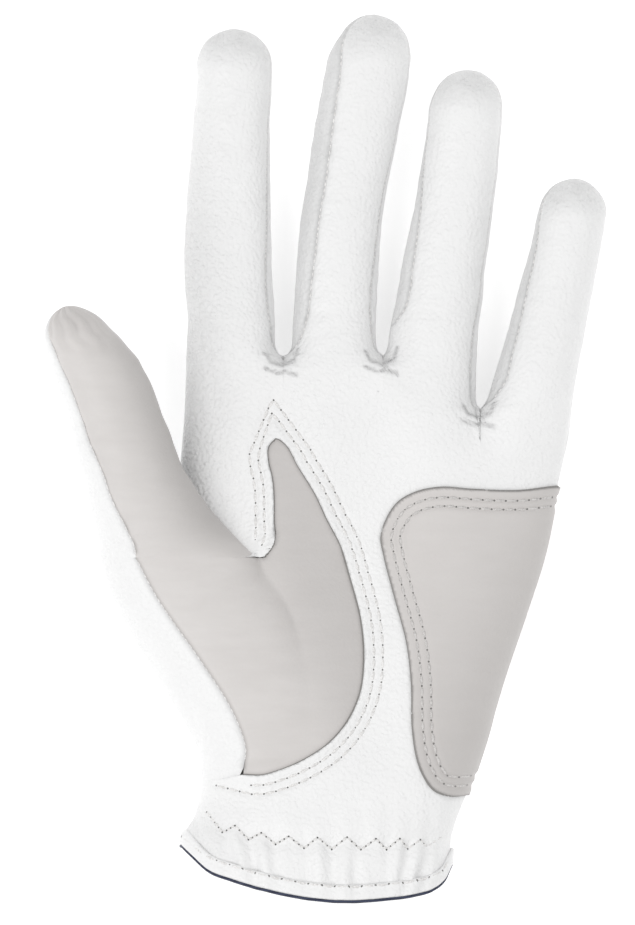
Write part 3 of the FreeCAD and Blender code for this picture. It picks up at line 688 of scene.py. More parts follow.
def thumb_grid():
    """The thumb as blocks of columns, front and back. The first rows fan out from the level where the
    ball of the thumb ends to the first row square to the thumb's line; then rows are ellipses with
    centre, half width and depths that vary along it, ending in a dome. Returns points, normals, blocks,
    distance along the thumb, and how far the skin lies in."""
    t = np.concatenate([np.zeros(THUMB_ROWS_COUNT - 1), np.linspace(0, PI / 2, 34)])[:, None]
    s = THUMB_TIP - THUMB_DOME + THUMB_DOME * np.sin(t)
    s[:THUMB_ROWS_COUNT - 1, 0] = np.linspace(FIRST_ROW, THUMB_TIP - THUMB_DOME, THUMB_ROWS_COUNT)[:-1]
    lo = np.where(t > 0, through(t, TIP_T, TIP_LEFT), through(s, LEFT_S, LEFT_A))
    hi = np.where(t > 0, through(t, TIP_T, TIP_RIGHT), through(s, RIGHT_S, RIGHT_A))
    cap = np.sqrt(1 - np.clip((s - 92) / (THUMB_TIP - 92), 0, 1) ** 2)
    centre, half = (lo + hi) / 2, (hi - lo) / 2
    fan = np.linspace(0, 1, FAN_ROWS)[:-1, None]
    fan_s = FAN_START + (FIRST_ROW - FAN_START) * fan
    seam = np.radians(np.vstack([through(fan_s, SEAM_S, SEAM), through(s, SEAM_S, SEAM)]))
    inner = np.full_like(seam, math.radians(-14))
    front = inner + (seam - inner) * np.linspace(0, 1, 84)[None, :]
    back = seam + (2 * PI + inner - seam) * np.linspace(0, 1, 76)[None, :]
    angle = np.hstack([front, back])
    tube = angle[FAN_ROWS - 1:]
    a = centre + half * np.cos(tube)
    plan = THUMB_ROOT + s[..., None] * ALONG + a[..., None] * ACROSS
    first_left = THUMB_ROOT + FIRST_ROW * ALONG + through(FIRST_ROW, LEFT_S, LEFT_A) * ACROSS
    first_right = THUMB_ROOT + FIRST_ROW * ALONG + RIGHT_A[0] * ACROSS
    left = curve_between((-56.4, -25.0), (-56.75, -23.4), first_left, fan)
    right = curve_between((-15.6, -25.0), (-22.6, -20.4), first_right, fan)
    low = angle[:FAN_ROWS - 1]
    share = (1 + np.cos(low))[..., None] / 2
    plan = np.vstack([left[:, None] * (1 - share) + right[:, None] * share, plan])
    along = np.vstack([fan_s, s]) + 0 * angle
    shrink = np.vstack([np.ones_like(fan), cap])
    depth = np.where(np.sin(angle) >= 0, through(along, UP_S, UP), through(along, UP_S, DOWN)) * shrink
    middle = through(along, THUMB_Z_S, THUMB_Z)
    P = np.dstack([plan, middle + depth * np.sin(angle)])
    N = tube_normals(P, angle)
    radius = 12.0
    around = np.abs((angle - seam + PI) % (2 * PI) - PI)
    inward = 0.5 * np.exp(-(around * radius / 0.8) ** 2) * (1 - 0.9 * hump(P[..., 1], BASE_Y, 1.0))
    inward += 0.4 * np.exp(-(np.abs((angle - inner + PI) % (2 * PI) - PI) * radius / 0.8) ** 2)
    fold = rise(0.0, 0.5, np.sin(angle))
    tip_s = joint_along("thumb_tip_bend")
    for place, deep in ((tip_s, 0.12), (tip_s + 3.6, 0.06), (tip_s - 3.2, 0.07)):
        inward += deep * np.exp(-((along - place - 0.7 * np.cos(angle) ** 2) / 0.9) ** 2) * fold
    puckers = np.cos(angle * 13 + 0.6 * np.sin(along))
    inward += 0.22 * puckers * rise(90, 101, along) * rise(0.25, 0.9, np.abs(np.sin(angle))) * (
        0.35 + shrink)
    inward += 0.14 * ripple(P[..., 0], P[..., 1], 61, 10.0) * rise(34, 50, along)
    P = P - N * inward[..., None]
    return P, tube_normals(P, angle), {"front": slice(0, 84), "back": slice(84, 160)}, along, inward


def joint_along(name):
    """Where a joint lies along the thumb, in millimetres."""
    x, y, _ = JOINT[name]["pos_m"]
    return float((np.array([x, y]) * 1000 - THUMB_ROOT) @ ALONG)


def curve_between(a, b, c, t):
    """The parabola from a to c that is drawn towards b."""
    a, b, c = (np.asarray(p, float) for p in (a, b, c))
    return a * (1 - t) ** 2 + 2 * b * t * (1 - t) + c * t * t


# ---- small solids -------------------------------------------------------------------------------
def slab(P, N, thickness, round_over):
    """A closed sheet round a grid of middle points: both faces meet at the grid's border, and stand half
    the thickness off it after a quarter circle of the given width. Returns points and faces."""
    rows = np.arange(P.shape[0])[:, None]
    across = np.linalg.norm(P[1:] - P[:-1], axis=-1).mean()
    beside_it = np.linalg.norm(P[:, 1:] - P[:, :-1], axis=-1).mean()
    columns = np.arange(P.shape[1])[None, :]
    edge = np.minimum(np.minimum(rows, P.shape[0] - 1 - rows) * across,
                      np.minimum(columns, P.shape[1] - 1 - columns) * beside_it)
    t = np.clip(edge / round_over, 0, 1)
    half = (thickness / 2 * np.sqrt(1 - (1 - t) ** 2))[..., None]
    both = np.vstack([(P + N * half).reshape(-1, 3), (P - N * half).reshape(-1, 3)])
    faces = cells(P.shape[:2])
    return both, np.vstack([faces, faces[:, ::-1] + P.shape[0] * P.shape[1]])


def tube(path, up, wide, high, around=10):
    """A band along a path: an ellipse with the given half width beside the path and half height along
    the up directions, with closed ends."""
    run = unit(np.gradient(path, axis=0))
    side = unit(np.cross(run, up))
    up = np.cross(side, run)
    turn = np.linspace(0, 2 * PI, around, endpoint=False)
    rings = (path[:, None] + side[:, None] * (np.cos(turn) * wide)[None, :, None]
             + up[:, None] * (np.sin(turn) * high)[None, :, None])
    last = (len(path) - 1) * around
    ring, corner = np.meshgrid(np.arange(0, last, around), np.arange(around), indexing="ij")
    beyond = (corner + 1) % around
    faces = np.stack([ring + corner, ring + beyond, ring + around + beyond, ring + around + corner], -1)
    faces = [tuple(f) for f in faces.reshape(-1, 4)[:, ::-1]]
    return rings.reshape(-1, 3), faces + [tuple(range(around)), tuple(range(last, last + around))[::-1]]


def right_way_out(obj):
    """Turns a closed mesh's faces outwards."""
    shell = bmesh.new()
    shell.from_mesh(obj.data)
    bmesh.ops.recalc_face_normals(shell, faces=shell.faces)
    shell.to_mesh(obj.data)
    shell.free()
    return obj


def solid(name, shape, material, slot=None, body="hand"):
    """A closed piece from points and faces, with its faces turned outwards."""
    return right_way_out(piece(name, *shape, None, material, None, slot, body))


def stitches(starts, ends, up, wide=0.42, high=0.38, bow=0.16):
    """Thread laid between pairs of needle holes: each stitch is a bowed capsule, five rings of six points
    whose half width follows a flattened half circle. Returns points and faces."""
    t = np.array([0.0, 0.12, 0.5, 0.88, 1.0])
    size = np.array([0.30, 0.82, 1.0, 0.82, 0.30])
    lift = bow * (4 * t * (1 - t)) - 0.10
    run = unit(ends - starts)
    side = unit(np.cross(run, up))
    turn = np.linspace(0, 2 * PI, 6, endpoint=False)
    middle = starts[:, None] + (ends - starts)[:, None] * t[:, None] + up[:, None] * lift[:, None]
    beside_it, above_it = size[:, None] * np.cos(turn) * wide, size[:, None] * np.sin(turn) * high
    points = (middle[:, :, None] + side[:, None, None] * beside_it[None, ..., None]
              + up[:, None, None] * above_it[None, ..., None])
    one = np.array([(r * 6 + k, r * 6 + 6 + k, r * 6 + 6 + (k + 1) % 6, r * 6 + (k + 1) % 6)
                    for r in range(4) for k in range(6)])
    faces = (one[None] + 30 * np.arange(len(starts))[:, None, None]).reshape(-1, 4)
    caps = [tuple(30 * n + np.arange(6)) for n in range(len(starts))]
    caps += [tuple(30 * n + np.arange(24, 30)[::-1]) for n in range(len(starts))]
    return points.reshape(-1, 3), [tuple(f) for f in faces] + caps


def needle_holes(centres, up, radius=0.42):
    """Small dark cups where the thread goes through, painted shade for the holes: a ring of seven points and
    a centre a little out from them.
    """
    helper = np.where(np.abs(up[:, 2:]) < 0.9, [[0.0, 0.0, 1.0]], [[1.0, 0.0, 0.0]])
    a = unit(np.cross(up, helper))
    b = np.cross(up, a)
    turn = np.linspace(0, 2 * PI, 7, endpoint=False)
    spokes = np.cos(turn)[:, None] * a[:, None] + np.sin(turn)[:, None] * b[:, None]
    ring = centres[:, None] + radius * spokes
    points = np.concatenate([ring, (centres + 0.05 * up)[:, None]], 1)
    one = np.array([(k, (k + 1) % 7, 7) for k in range(7)])
    faces = (one[None] + 8 * np.arange(len(centres))[:, None, None]).reshape(-1, 3)
    return points.reshape(-1, 3), [tuple(f) for f in faces]


def on_front(line, offset):
    """Plan points carried up onto the front of the hand and off it: places and outward directions."""
    line = np.asarray(line, float)

    def height(p):
        return hand_height(p[:, 0], p[:, 1], np.ones(len(p), bool))
    e = 0.3
    dx = (height(line + [e, 0]) - height(line - [e, 0])) / (2 * e)
    dy = (height(line + [0, e]) - height(line - [0, e])) / (2 * e)
    up = unit(np.stack([-dx, -dy, np.ones(len(line))], -1))
    return np.column_stack([line, height(line)]) + up * np.reshape(offset, (-1, 1)), up


def row_of_stitches(line, pitch, offset, gap=0.22):
    """Running stitches along a plan line: one for each pitch, with a small gap, and its needle holes."""
    line = np.asarray(line, float)
    edge = hand_edges(line[:, 1])[1] - 0.9
    line = line[line[:, 0] < edge]
    count = max(int(round(lengths(line)[-1] / pitch)), 1)
    nodes = spaced(line, count * 8 + 1)[::8]
    starts = nodes[:-1] + gap / 2 * (nodes[1:] - nodes[:-1])
    ends = nodes[1:] - gap / 2 * (nodes[1:] - nodes[:-1])
    a, up_a = on_front(starts, offset(starts))
    b, up_b = on_front(ends, offset(ends))
    return (a, b, unit(up_a + up_b)), on_front(nodes, offset(nodes))


def sewn(name, rows, thread=None, wide=0.42, radius=0.27):
    """Makes one piece of thread and one of needle holes from several rows, and returns the thread."""
    a, b, up = (np.vstack([r[0][k] for r in rows]) for k in range(3))
    laid = solid(name, stitches(a, b, up, wide, wide * 0.9), thread or THREAD)
    centres, hole_up = (np.vstack([r[1][k] for r in rows]) for k in range(2))
    piece(name + "_needle_holes", *needle_holes(centres + 0.05 * hole_up, hole_up, radius), None, HOLE)
    return laid


# ---- materials ----------------------------------------------------------------------------------
class Value:
    """A socket of a material; arithmetic on it adds Math nodes."""

    def __init__(self, finish, socket):
        self.finish, self.socket = finish, socket

    def math(self, operation, a, b):
        return self.finish.node("ShaderNodeMath", {"operation": operation}, {0: a, 1: b})

    def __add__(self, other):
        return self.math("ADD", self, other)

    def __sub__(self, other):
        return self.math("SUBTRACT", self, other)

    def __mul__(self, other):
        return self.math("MULTIPLY", self, other)

    def __radd__(self, other):
        return self.math("ADD", other, self)

    def __rsub__(self, other):
        return self.math("SUBTRACT", other, self)

    def __rmul__(self, other):
        return self.math("MULTIPLY", other, self)


class Finish:
    """A material in the making."""

    def __init__(self, name, roughness, sheen=0.0):
        self.material = bpy.data.materials.new(name)
        self.material.use_nodes = True
        self.tree = self.material.node_tree
        self.shader = self.tree.nodes["Principled BSDF"]
        self.shader.inputs["Roughness"].default_value = roughness
        self.shader.inputs["Sheen Weight"].default_value = sheen
        self.place = self.node("ShaderNodeTexCoord", {}, {}, "Object")

    def node(self, kind, settings, inputs, output=0):
        """Adds a node: first its settings, then what goes into its sockets, and gives one output."""
        made = self.tree.nodes.new(kind)
        for key, value in settings.items():
            setattr(made, key, value)
        for key, value in inputs.items():
            self.join(made.inputs[key], value)
        return Value(self, made.outputs[output])

    def join(self, socket, value):
        """Links a value to a socket, or sets a number or a colour on it."""
        if isinstance(value, Value):
            self.tree.links.new(value.socket, socket)
        elif hasattr(value, "__len__") and socket.type == "RGBA":
            socket.default_value = (*value, 1) if len(value) == 3 else value
        else:
            socket.default_value = value

    def mixed(self, share, a, b):
        """Colour a where the share is 0, and b where it is 1."""
        settings = {"data_type": "RGBA", "clamp_factor": True}
        return self.node("ShaderNodeMix", settings, {0: share, 6: a, 7: b}, 2)

    def noise(self, size_mm, detail=2.0, rough=0.5, squash=None):
        """Clouds of about the given size, drawn out by the squash."""
        where = self.place
        if squash:
            where = self.node("ShaderNodeVectorMath", {"operation": "MULTIPLY"}, {0: where, 1: squash})
        return self.node("ShaderNodeTexNoise", {}, {"Vector": where, "Scale": 1000 / size_mm,
                                                    "Detail": detail, "Roughness": rough})

    def grain(self, size_mm, place=None):
        """Rounded cells of the given size: 0 in their middles."""
        return self.node("ShaderNodeTexVoronoi", {"feature": "SMOOTH_F1"},
                         {"Vector": place or self.place, "Scale": 1000 / size_mm})

    def between(self, value, low, high, to_low=0.0, to_high=1.0):
        """Passes smoothly from one value to the other while the input goes from low to high."""
        return self.node("ShaderNodeMapRange", {"interpolation_type": "SMOOTHSTEP", "clamp": True},
                         {0: value, 1: low, 2: high, 3: to_low, 4: to_high})

    def mark(self, name):
        """A value that the mesh carries at its points."""
        return self.node("ShaderNodeAttribute", {"attribute_name": name}, {}, "Fac")

    def done(self, colour, height=None, depth_mm=0.1, roughness=None):
        """Puts colour, relief and roughness into the shader, and gives the material."""
        self.join(self.shader.inputs["Base Color"], colour)
        if roughness is not None:
            self.join(self.shader.inputs["Roughness"], roughness)
        if height is not None:
            bump = self.node("ShaderNodeBump", {}, {"Distance": depth_mm / 1000, "Height": height})
            self.join(self.shader.inputs["Normal"], bump)
        return self.material


def leather(name, light, dark, roughness, grain_mm, grain_depth, tint=0.06, marked=True, creases=0.35,
            streaks=0.5):
    """Fine-grained glove leather: cells of grain with soft valleys between them, finer pores, faint
    stretch marks, a slow change of tone, painted shade with stronger grain where the mesh marks it, and a
    line of painted shade with some dirt where it runs into a seam."""
    f = Finish(name, roughness, sheen=0.06)
    bent = f.node("ShaderNodeTexNoise", {}, {"Vector": f.place, "Scale": 1000 / 2.2, "Detail": 2.0}, "Color")
    shift = f.node("ShaderNodeVectorMath", {"operation": "SCALE"}, {0: bent, "Scale": 0.0006})
    where = f.node("ShaderNodeVectorMath", {"operation": "ADD"}, {0: f.place, 1: shift})
    cell = f.grain(grain_mm, where)
    valley = f.between(cell, 0.1, 0.75)
    pores = f.noise(grain_mm * 0.42, 2.0)
    broad = f.noise(9.0, 3.0)
    cloudy = f.noise(26.0, 2.0)
    stretch = f.noise(3.2, 3.0, 0.6)
    fibres = f.noise(5.0, 3.0, 0.6, squash=(0.35, 1.6, 1.0))
    height = (1 - valley) * 0.62 + pores * 0.30 + stretch * creases
    if marked:
        # The mark that paints shade also makes the grain stronger.
        height = height * (0.75 + f.mark("painted_shade_and_grain") * 2.2)
    tone = (cloudy - 0.5) * 0.9 + (broad - 0.5) * 0.6 + (fibres - 0.5) * streaks + 0.5 - valley * tint * 1.4
    colour = f.mixed(tone, dark, light)
    if marked:
        # Painted shade: where the mesh marks it, the colour turns towards a darker copy of the leather's own.
        painted_shade_and_grain = f.mark("painted_shade_and_grain") * (0.8 + 0.4 * broad)
        colour = f.mixed(painted_shade_and_grain, colour, tuple(0.62 * c for c in dark))
        # Painted shade with some dirt: darker along seams and in the grooves where the skin lies in.
        colour = f.mixed(f.mark("seam") * 0.55, colour, tuple(0.55 * c for c in dark))
    rough = f.between(broad * 0.5 + pores * 0.5, 0.3, 0.7, roughness - 0.07, roughness + 0.09)
    return f.done(colour, height, grain_depth, rough)


def woven(name, light, dark, rib_mm, along, roughness=0.75, depth=0.12):
    """Narrow woven tape: ribs along one direction crossed by finer threads."""
    f = Finish(name, roughness, sheen=0.15)
    rib = f.node("ShaderNodeTexWave", {"bands_direction": along},
                 {"Vector": f.place, "Scale": 1000 / rib_mm / 6.28, "Distortion": 1.2, "Detail": 1.0})
    fibre = f.noise(rib_mm * 0.35, 2.0)
    share = f.between(rib * 0.7 + fibre * 0.5, 0.25, 0.9)
    return f.done(f.mixed(share, dark, light), rib + fibre * 0.5, depth)


def spun(name, light, dark, twist_mm=0.5):
    """Twisted thread: slanting fine lines with loose fibre noise."""
    f = Finish(name, 0.62, sheen=0.25)
    fibre = f.noise(twist_mm * 0.4, 2.0)
    strand = f.noise(twist_mm, 3.0)
    share = f.between(strand * 0.6 + fibre * 0.4, 0.35, 0.62)
    return f.done(f.mixed(share, dark, light), fibre + strand, 0.08)


def matted(name, light, dark, tuft_mm, roughness=0.9):
    """A field of fine loops or hooks: rounded tufts with dark between them."""
    f = Finish(name, roughness, sheen=0.3)
    tuft = f.grain(tuft_mm)
    fuzz = f.noise(tuft_mm * 0.4, 2.0)
    share = f.between(1 - tuft + (fuzz - 0.5) * 0.4, 0.25, 0.85)
    return f.done(f.mixed(share, dark, light), (1 - tuft) + fuzz * 0.5, 0.5)


WHITE = leather("white_glove_leather", (0.895, 0.895, 0.895), (0.845, 0.845, 0.845), 0.50,
                0.90, 0.28, 0.16, streaks=0.3)
GREY_LEATHER = leather("grey_smooth_leather", (0.69, 0.665, 0.65), (0.61, 0.585, 0.57), 0.56,
                       0.75, 0.04, 0.03, creases=0.4, streaks=0.9)
HEEL_LEATHER = leather("grey_heel_patch_leather", (0.665, 0.64, 0.625), (0.60, 0.575, 0.56), 0.55,
                       0.75, 0.035, 0.03, creases=0.35, streaks=0.7)
# A greyer copy of the white leather for the strips on the fingers' thumb sides: painted shade for sides
# turned from the light.
SHADED_STRIP_LEATHER = leather("side_strip_leather", (0.84, 0.84, 0.84), (0.70, 0.70, 0.70), 0.56,
                        0.85, 0.30, 0.16)
CUT_EDGE = leather("leather_cut_edge", (0.34, 0.33, 0.32), (0.22, 0.21, 0.20), 0.85,
                   0.5, 0.05, marked=False)
LINING = leather("leather_flesh_side", (0.60, 0.59, 0.57), (0.46, 0.45, 0.44), 0.9,
                 0.4, 0.08, marked=False)
THREAD = spun("sewing_thread", (0.90, 0.89, 0.88), (0.66, 0.65, 0.64))
GREY_THREAD = spun("grey_sewing_thread", (0.70, 0.68, 0.665), (0.48, 0.465, 0.455))
HOLE = matted("needle_hole_shadow", (0.30, 0.29, 0.28), (0.16, 0.155, 0.15), 0.3)
NAVY = woven("navy_binding_tape", (0.035, 0.045, 0.09), (0.012, 0.016, 0.04), 0.45, "Y", 0.7, 0.08)
ELASTIC = woven("white_elastic_tape", (0.80, 0.80, 0.79), (0.55, 0.55, 0.55), 0.8, "X", 0.8, 0.2)
HOOKS = matted("hook_fastener", (0.70, 0.70, 0.69), (0.35, 0.35, 0.35), 0.55, 0.7)
LOOPS = matted("loop_fastener", (0.78, 0.78, 0.77), (0.50, 0.50, 0.50), 0.4, 0.95)


# ---- the hand's panels --------------------------------------------------------------------------
FRONT = ring_grid(np.linspace(RIGHT_TURN, LEFT_TURN, 300), 190, 84)
BACK = ring_grid(np.linspace(LEFT_TURN, 2 * PI + RIGHT_TURN, 190), 150, 70)


def gap_to(flat, line):
    """Distance in plan from an open line."""
    return away(flat[:, :2], line, closed=False)[0]


LAP_LINE = np.vstack([STITCHED_EDGE, WEDGE_EDGE])[::2]


def side_groove(turn):
    """The closed seam down each side of the hand, where the front meets the back."""
    gap = np.minimum(np.abs(turn - RIGHT_TURN), np.abs(turn - LEFT_TURN))
    gap = np.minimum(gap, np.abs(turn - 2 * PI - RIGHT_TURN)) * 24
    return -0.45 * np.exp(-(gap / 0.8) ** 2)


def palm_offset(flat, turn):
    """The palm leather laps over the grey piece: it stands 0.45 mm proud at its edge there and settles
    within 5 mm; stitching rows draw it in, and the wrist gathers it."""
    edge = gap_to(flat, LAP_LINE)
    return (0.5 * np.exp(-(edge / 4.5) ** 2) + quilt(flat[:, :2], THUMB_ROWS, 0.42, 0.75)
            + gathers(flat[:, 0], flat[:, 1], turn) + side_groove(turn))


def ball_offset(flat, turn):
    """The grey leather dips under the palm leather's edge and into the thumb's seam."""
    edge = gap_to(flat, LAP_LINE)
    return (-0.35 * np.exp(-(edge / 3.0) ** 2) * rise(0, 3, BASE_Y - flat[:, 1] + 3 * (flat[:, 0] > -20))
            + thumb_groove(flat) + gathers(flat[:, 0], flat[:, 1], turn))


def thumb_groove(flat):
    """The closed seam between the thumb's grey and white leathers, shallow where the thumb leaves."""
    return -0.5 * np.exp(-(gap_to(flat, THUMB_SEAM) / 0.8) ** 2) * (1 - 0.9 * hump(flat[:, 1], BASE_Y, 1.0))


def side_offset(flat, turn):
    """The thumb's white leather is drawn in along both its seams, and gathered at the wrist."""
    return thumb_groove(flat) + side_groove(turn) + gathers(flat[:, 0], flat[:, 1], turn) * 0.8


def heel_offset(flat, turn):
    """The heel patch lies on the palm leather, drawn in along its two rows of stitching."""
    return (0.85 + quilt(flat[:, :2], HEEL_ROWS, 0.40, 0.75) + side_groove(turn)
            + 0.8 * gathers(flat[:, 0], flat[:, 1], turn))


def painted_shade_and_grain(x, y):
    """How much painted shade, with stronger grain, the leather gets at a plan point: most at the thumb's side
    of the palm, on the ball's inner slope, on the thumb's inner side and on the lower outer corner of the
    heel."""
    palm_side = (0.42 * rise(-18, -38, x) * rise(-26, -10, y) * rise(70, 30, y)
                 + 0.14 * rise(-14, -34, x) * rise(-84, -92, y)
                 + 0.05 * rise(20, -20, x) * rise(-20, 0, y) * rise(60, 18, y))
    slope = 0.34 * rise(-20, 2, x + 0.3 * (y + 40)) * rise(-84, -58, y)
    corner = 0.30 * rise(22, 66, x - 0.55 * (y + 20)) * (x > 12)
    return palm_side, slope, corner


def marks_for(lines, wide=0.55, shade_kind=None):
    """What the leather's finish reads at a point: "seam" is 1 on the lines and gone within three times
    the given width, and marks painted shade with some dirt there; the second mark is the asked one of the
    three kinds of painted shade, which also strengthen the grain."""
    marks = {"seam": lambda flat: hump(np.minimum.reduce([gap_to(flat, line) for line in lines]), 0, wide)}
    if shade_kind is not None:
        marks["painted_shade_and_grain"] = lambda flat: painted_shade_and_grain(flat[:, 0], flat[:, 1])[shade_kind]
    return marks


# The three kinds of painted shade, each with stronger grain.
PALM_SIDE, INNER_SLOPE, HEEL_CORNER = range(3)


LAP_EDGE = np.vstack([STITCHED_EDGE, WEDGE_EDGE[1:]])
OPENING = np.vstack([LAP_EDGE, [(-80, -25), (-80, -81), (-34.0, -81.0), (-26.0, -80.3), (-21.5, -79.4)]])
# The panels' marks paint shade along their seam lines and over the asked kind of painted shade.
palm = cut_piece("palm_leather", FRONT, OPENING, False, palm_offset, WHITE, LAP_EDGE, 0.9,
                 marks_for([HEEL_EDGE], shade_kind=PALM_SIDE), "white_leather")
ball = cut_piece("thumb_ball_grey_leather", FRONT, GREY, True, ball_offset, GREY_LEATHER, None, 0.8,
                 marks_for([LAP_EDGE, THUMB_SEAM], shade_kind=INNER_SLOPE), "grey_leather")
side = cut_piece("thumb_side_leather", FRONT, SIDE_STRIP, True, side_offset, WHITE, None, 0.8,
                 marks_for([THUMB_SEAM]), "white_leather")
heel = cut_piece("heel_patch_leather", FRONT, HEEL, True, heel_offset, HEEL_LEATHER, HEEL_EDGE, 0.9,
                 marks_for([HEEL_EDGE], 0.28, HEEL_CORNER), "grey_leather")
SLIT = smooth_line([(-5.5, -130), (-5.5, -70), (-5.4, -54.5), (-3.9, -51.2), (-1.0, -50.0), (1.9, -51.2),
                    (3.4, -54.5), (3.5, -70), (3.5, -130)], 80)


def back_offset(flat, turn):
    """The back: shirred lightly across the knuckles by the elastic inside, and drawn in along its side
    seams."""
    x, y = flat[:, 0], flat[:, 1]
    level = np.minimum(1.0, finger_start(x) - 9.0)
    inside = rise(-30, -22, x) * rise(56, 48, x) * rise(0.3, 3.5, finger_start(x) - y)
    band = hump(y, level, 5.0) * inside
    ridges = 0.5 * np.cos(x * 2 * PI / 4.1 + 0.7 * np.sin(y * 0.5)) - 0.5
    return band * ridges * 0.8 + side_groove(turn)


back = cut_piece("back_leather", BACK, SLIT, False, back_offset, WHITE, SLIT, 0.8, None, "white_leather")


# ---- fingers and thumb --------------------------------------------------------------------------
CREASES = [np.array([(-4.4, 0.6), (-3.2, -1.6), (-0.4, -2.5), (2.6, -1.3), (3.6, 1.4)]),
           np.array([(-4.6, -3.2), (-1.6, -4.3), (0.6, -4.0), (3.4, -4.9)])]


def crotch_crease_shade(P, N):
    """How much painted shade falls in the two small creases of the front leather where the strip between two
    fingers is sewn in; the creases are painted only.
    """
    plan = P[..., :2].reshape(-1, 2)
    gap = np.minimum.reduce([gap_to(plan - middle, line) for middle in CROTCH.values() for line in CREASES])
    return 0.75 * np.exp(-(gap / 0.42) ** 2).reshape(P.shape[:2]) * (N[..., 2] > 0.1)


SEAM_DEPTH = 0.45


def strips_of(limb, word, grid, cut, columns, finish, ends):
    """One strip of a finger or the thumb as two pieces, cut between its two joints, each with its transform
    baked into its points.
    The places in ends are not used."""
    bodies = ("hand", limb + "_lower", limb + "_upper")
    made = []
    for part, rows in (("lower", slice(0, cut + 1)), ("upper", slice(cut, None))):
        P, N, inward, grey = (layer[rows, columns] for layer in grid)
        # Painted shade: "seam" darkens the leather, with some dirt, where the skin lies in along the seams;
        # the other mark is the given painted shade with stronger grain.
        marks = {"seam": np.clip(inward / SEAM_DEPTH, 0, 1) ** 3, "painted_shade_and_grain": grey}
        name = f"{limb}_{part}_{word}"
        made.append(piece(name, P, cells(P.shape[:2]), N, finish[0], marks, finish[1], None))
    for obj, before, after, (start, end) in zip(made, bodies, bodies[1:], ends):
        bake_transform(obj)
    return made


def along_joint(name, before, after):
    """Two places on the part's line at a joint, the given distances before and after it, in metres."""
    joint = JOINT[name]
    pos, axis = np.array(joint["pos_m"]), np.array(joint["axis"])
    line = unit(np.cross([0, 0, 1.0], axis))
    return tuple(pos - line * before / 1000), tuple(pos + line * after / 1000)


def seam_thread(name, path, up, pitch=1.55):
    """The small stitches that show in a closed seam: thread laid a little under the leather's level."""
    both = spaced(np.hstack([path, up]), max(int(lengths(path)[-1] / pitch), 2))
    nodes, out = both[:, :3] + 0.12 * both[:, 3:], both[:, 3:]
    step = nodes[1:] - nodes[:-1]
    middle = unit(out[1:] + out[:-1])
    shape = stitches(nodes[:-1] + 0.16 * step, nodes[1:] - 0.16 * step, middle, 0.24, 0.22, 0.06)
    thread = solid(name, shape, THREAD, body=None)
    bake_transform(thread)


STRIPS = {"front": ("front_leather", (WHITE, "white_leather")),
          "back": ("back_leather", (WHITE, "white_leather")),
          # The thumb-side strips take the greyer copy of the white leather, as painted shade.
          "left": ("thumb_side_strip", (SHADED_STRIP_LEATHER, "side_strip_leather")),
          "right": ("little_side_strip", (WHITE, "white_leather"))}
PARTS = {}
for finger in FINGERS:
    P, N, blocks, inward = finger_grid(finger)
    base, bend = joint_y(finger + "_base_bend"), joint_y(finger + "_middle_bend")
    cut = int(np.argmin(np.abs(P[:, 30, 1] - (base + bend) / 2)))
    ends = (along_joint(finger + "_base_bend", 8 if finger == "little" else 9, 8),
            along_joint(finger + "_middle_bend", 7, 7))
    tip = SHAPE[finger]["tip"]
    x, y = P[..., 0], P[..., 1]
    # Painted shade with stronger grain: darker towards the fingertip, on the index finger's thumb side, on
    # the palm's thumb side and in the creases by the crotches, and none on faces turned down.
    grey = 0.30 * rise(tip - 13, tip - 1, y) * (1 + 0.4 * ripple(x, y * 2, 90, 7.0))
    if finger == "index":
        grey = np.maximum(grey, 0.42 * rise(-18, -38, x) * rise(108, 40, y))
    grey = np.maximum(grey, painted_shade_and_grain(x, y)[PALM_SIDE]) * rise(-0.75, -0.35, N[..., 2])
    grey = np.maximum(grey, crotch_crease_shade(P, N))
    for key, columns in blocks.items():
        word, finish = STRIPS[key]
        made = strips_of(finger, word, (P, N, inward, grey), cut, columns, finish, ends)
        PARTS[finger, "lower", key], PARTS[finger, "upper", key] = made
        if key in ("left", "right"):
            column = columns.stop - 1 if key == "right" else columns.start
            first = int(np.argmax(P[:, 30, 1] > base - 8))
            seam_thread(f"{finger}_{word}_lower_thread", P[first:cut + 1, column], N[first:cut + 1, column])
            seam_thread(f"{finger}_{word}_upper_thread", P[cut:-12, column], N[cut:-12, column])

P, N, blocks, along, inward = thumb_grid()
cut = int(np.argmin(np.abs(along[:, 0] - 61.5)))
ends = along_joint("thumb_base_bend", 2, 13), along_joint("thumb_tip_bend", 8, 8)
# Painted shade with stronger grain: darker on the thumb's side towards the palm beyond its ball, and at its
# tip.
spread = (P[..., 0] + 0.365 * P[..., 1] + 45.5) / 12
grey = 0.50 * rise(-0.7, 1.15, spread) * rise(25, 45, along) + 0.22 * rise(98, 106, along)
for key, columns in blocks.items():
    finish = (GREY_LEATHER, "grey_leather") if key == "front" else (WHITE, "white_leather")
    made = strips_of("thumb", key + "_leather", (P, N, inward, grey), cut, columns, finish, ends)
    PARTS["thumb", "lower", key], PARTS["thumb", "upper", key] = made
column = blocks["front"].stop - 1
seam_thread("thumb_seam_lower_thread", P[2:cut + 1, column], N[2:cut + 1, column],
            1.9)
seam_thread("thumb_seam_upper_thread", P[cut:-6, column], N[cut:-6, column],
            1.5)
seam_3d, seam_up = on_front(THUMB_SEAM[1:-2], -0.42)
thumb_seam = spaced(np.hstack([seam_3d, seam_up]), 34)
step = thumb_seam[1:, :3] - thumb_seam[:-1, :3]
shape = stitches(thumb_seam[:-1, :3] + 0.18 * step, thumb_seam[1:, :3] - 0.18 * step,
                 thumb_seam[1:, 3:], 0.24, 0.22, 0.06)
solid("thumb_seam_hand_thread", shape, THREAD)


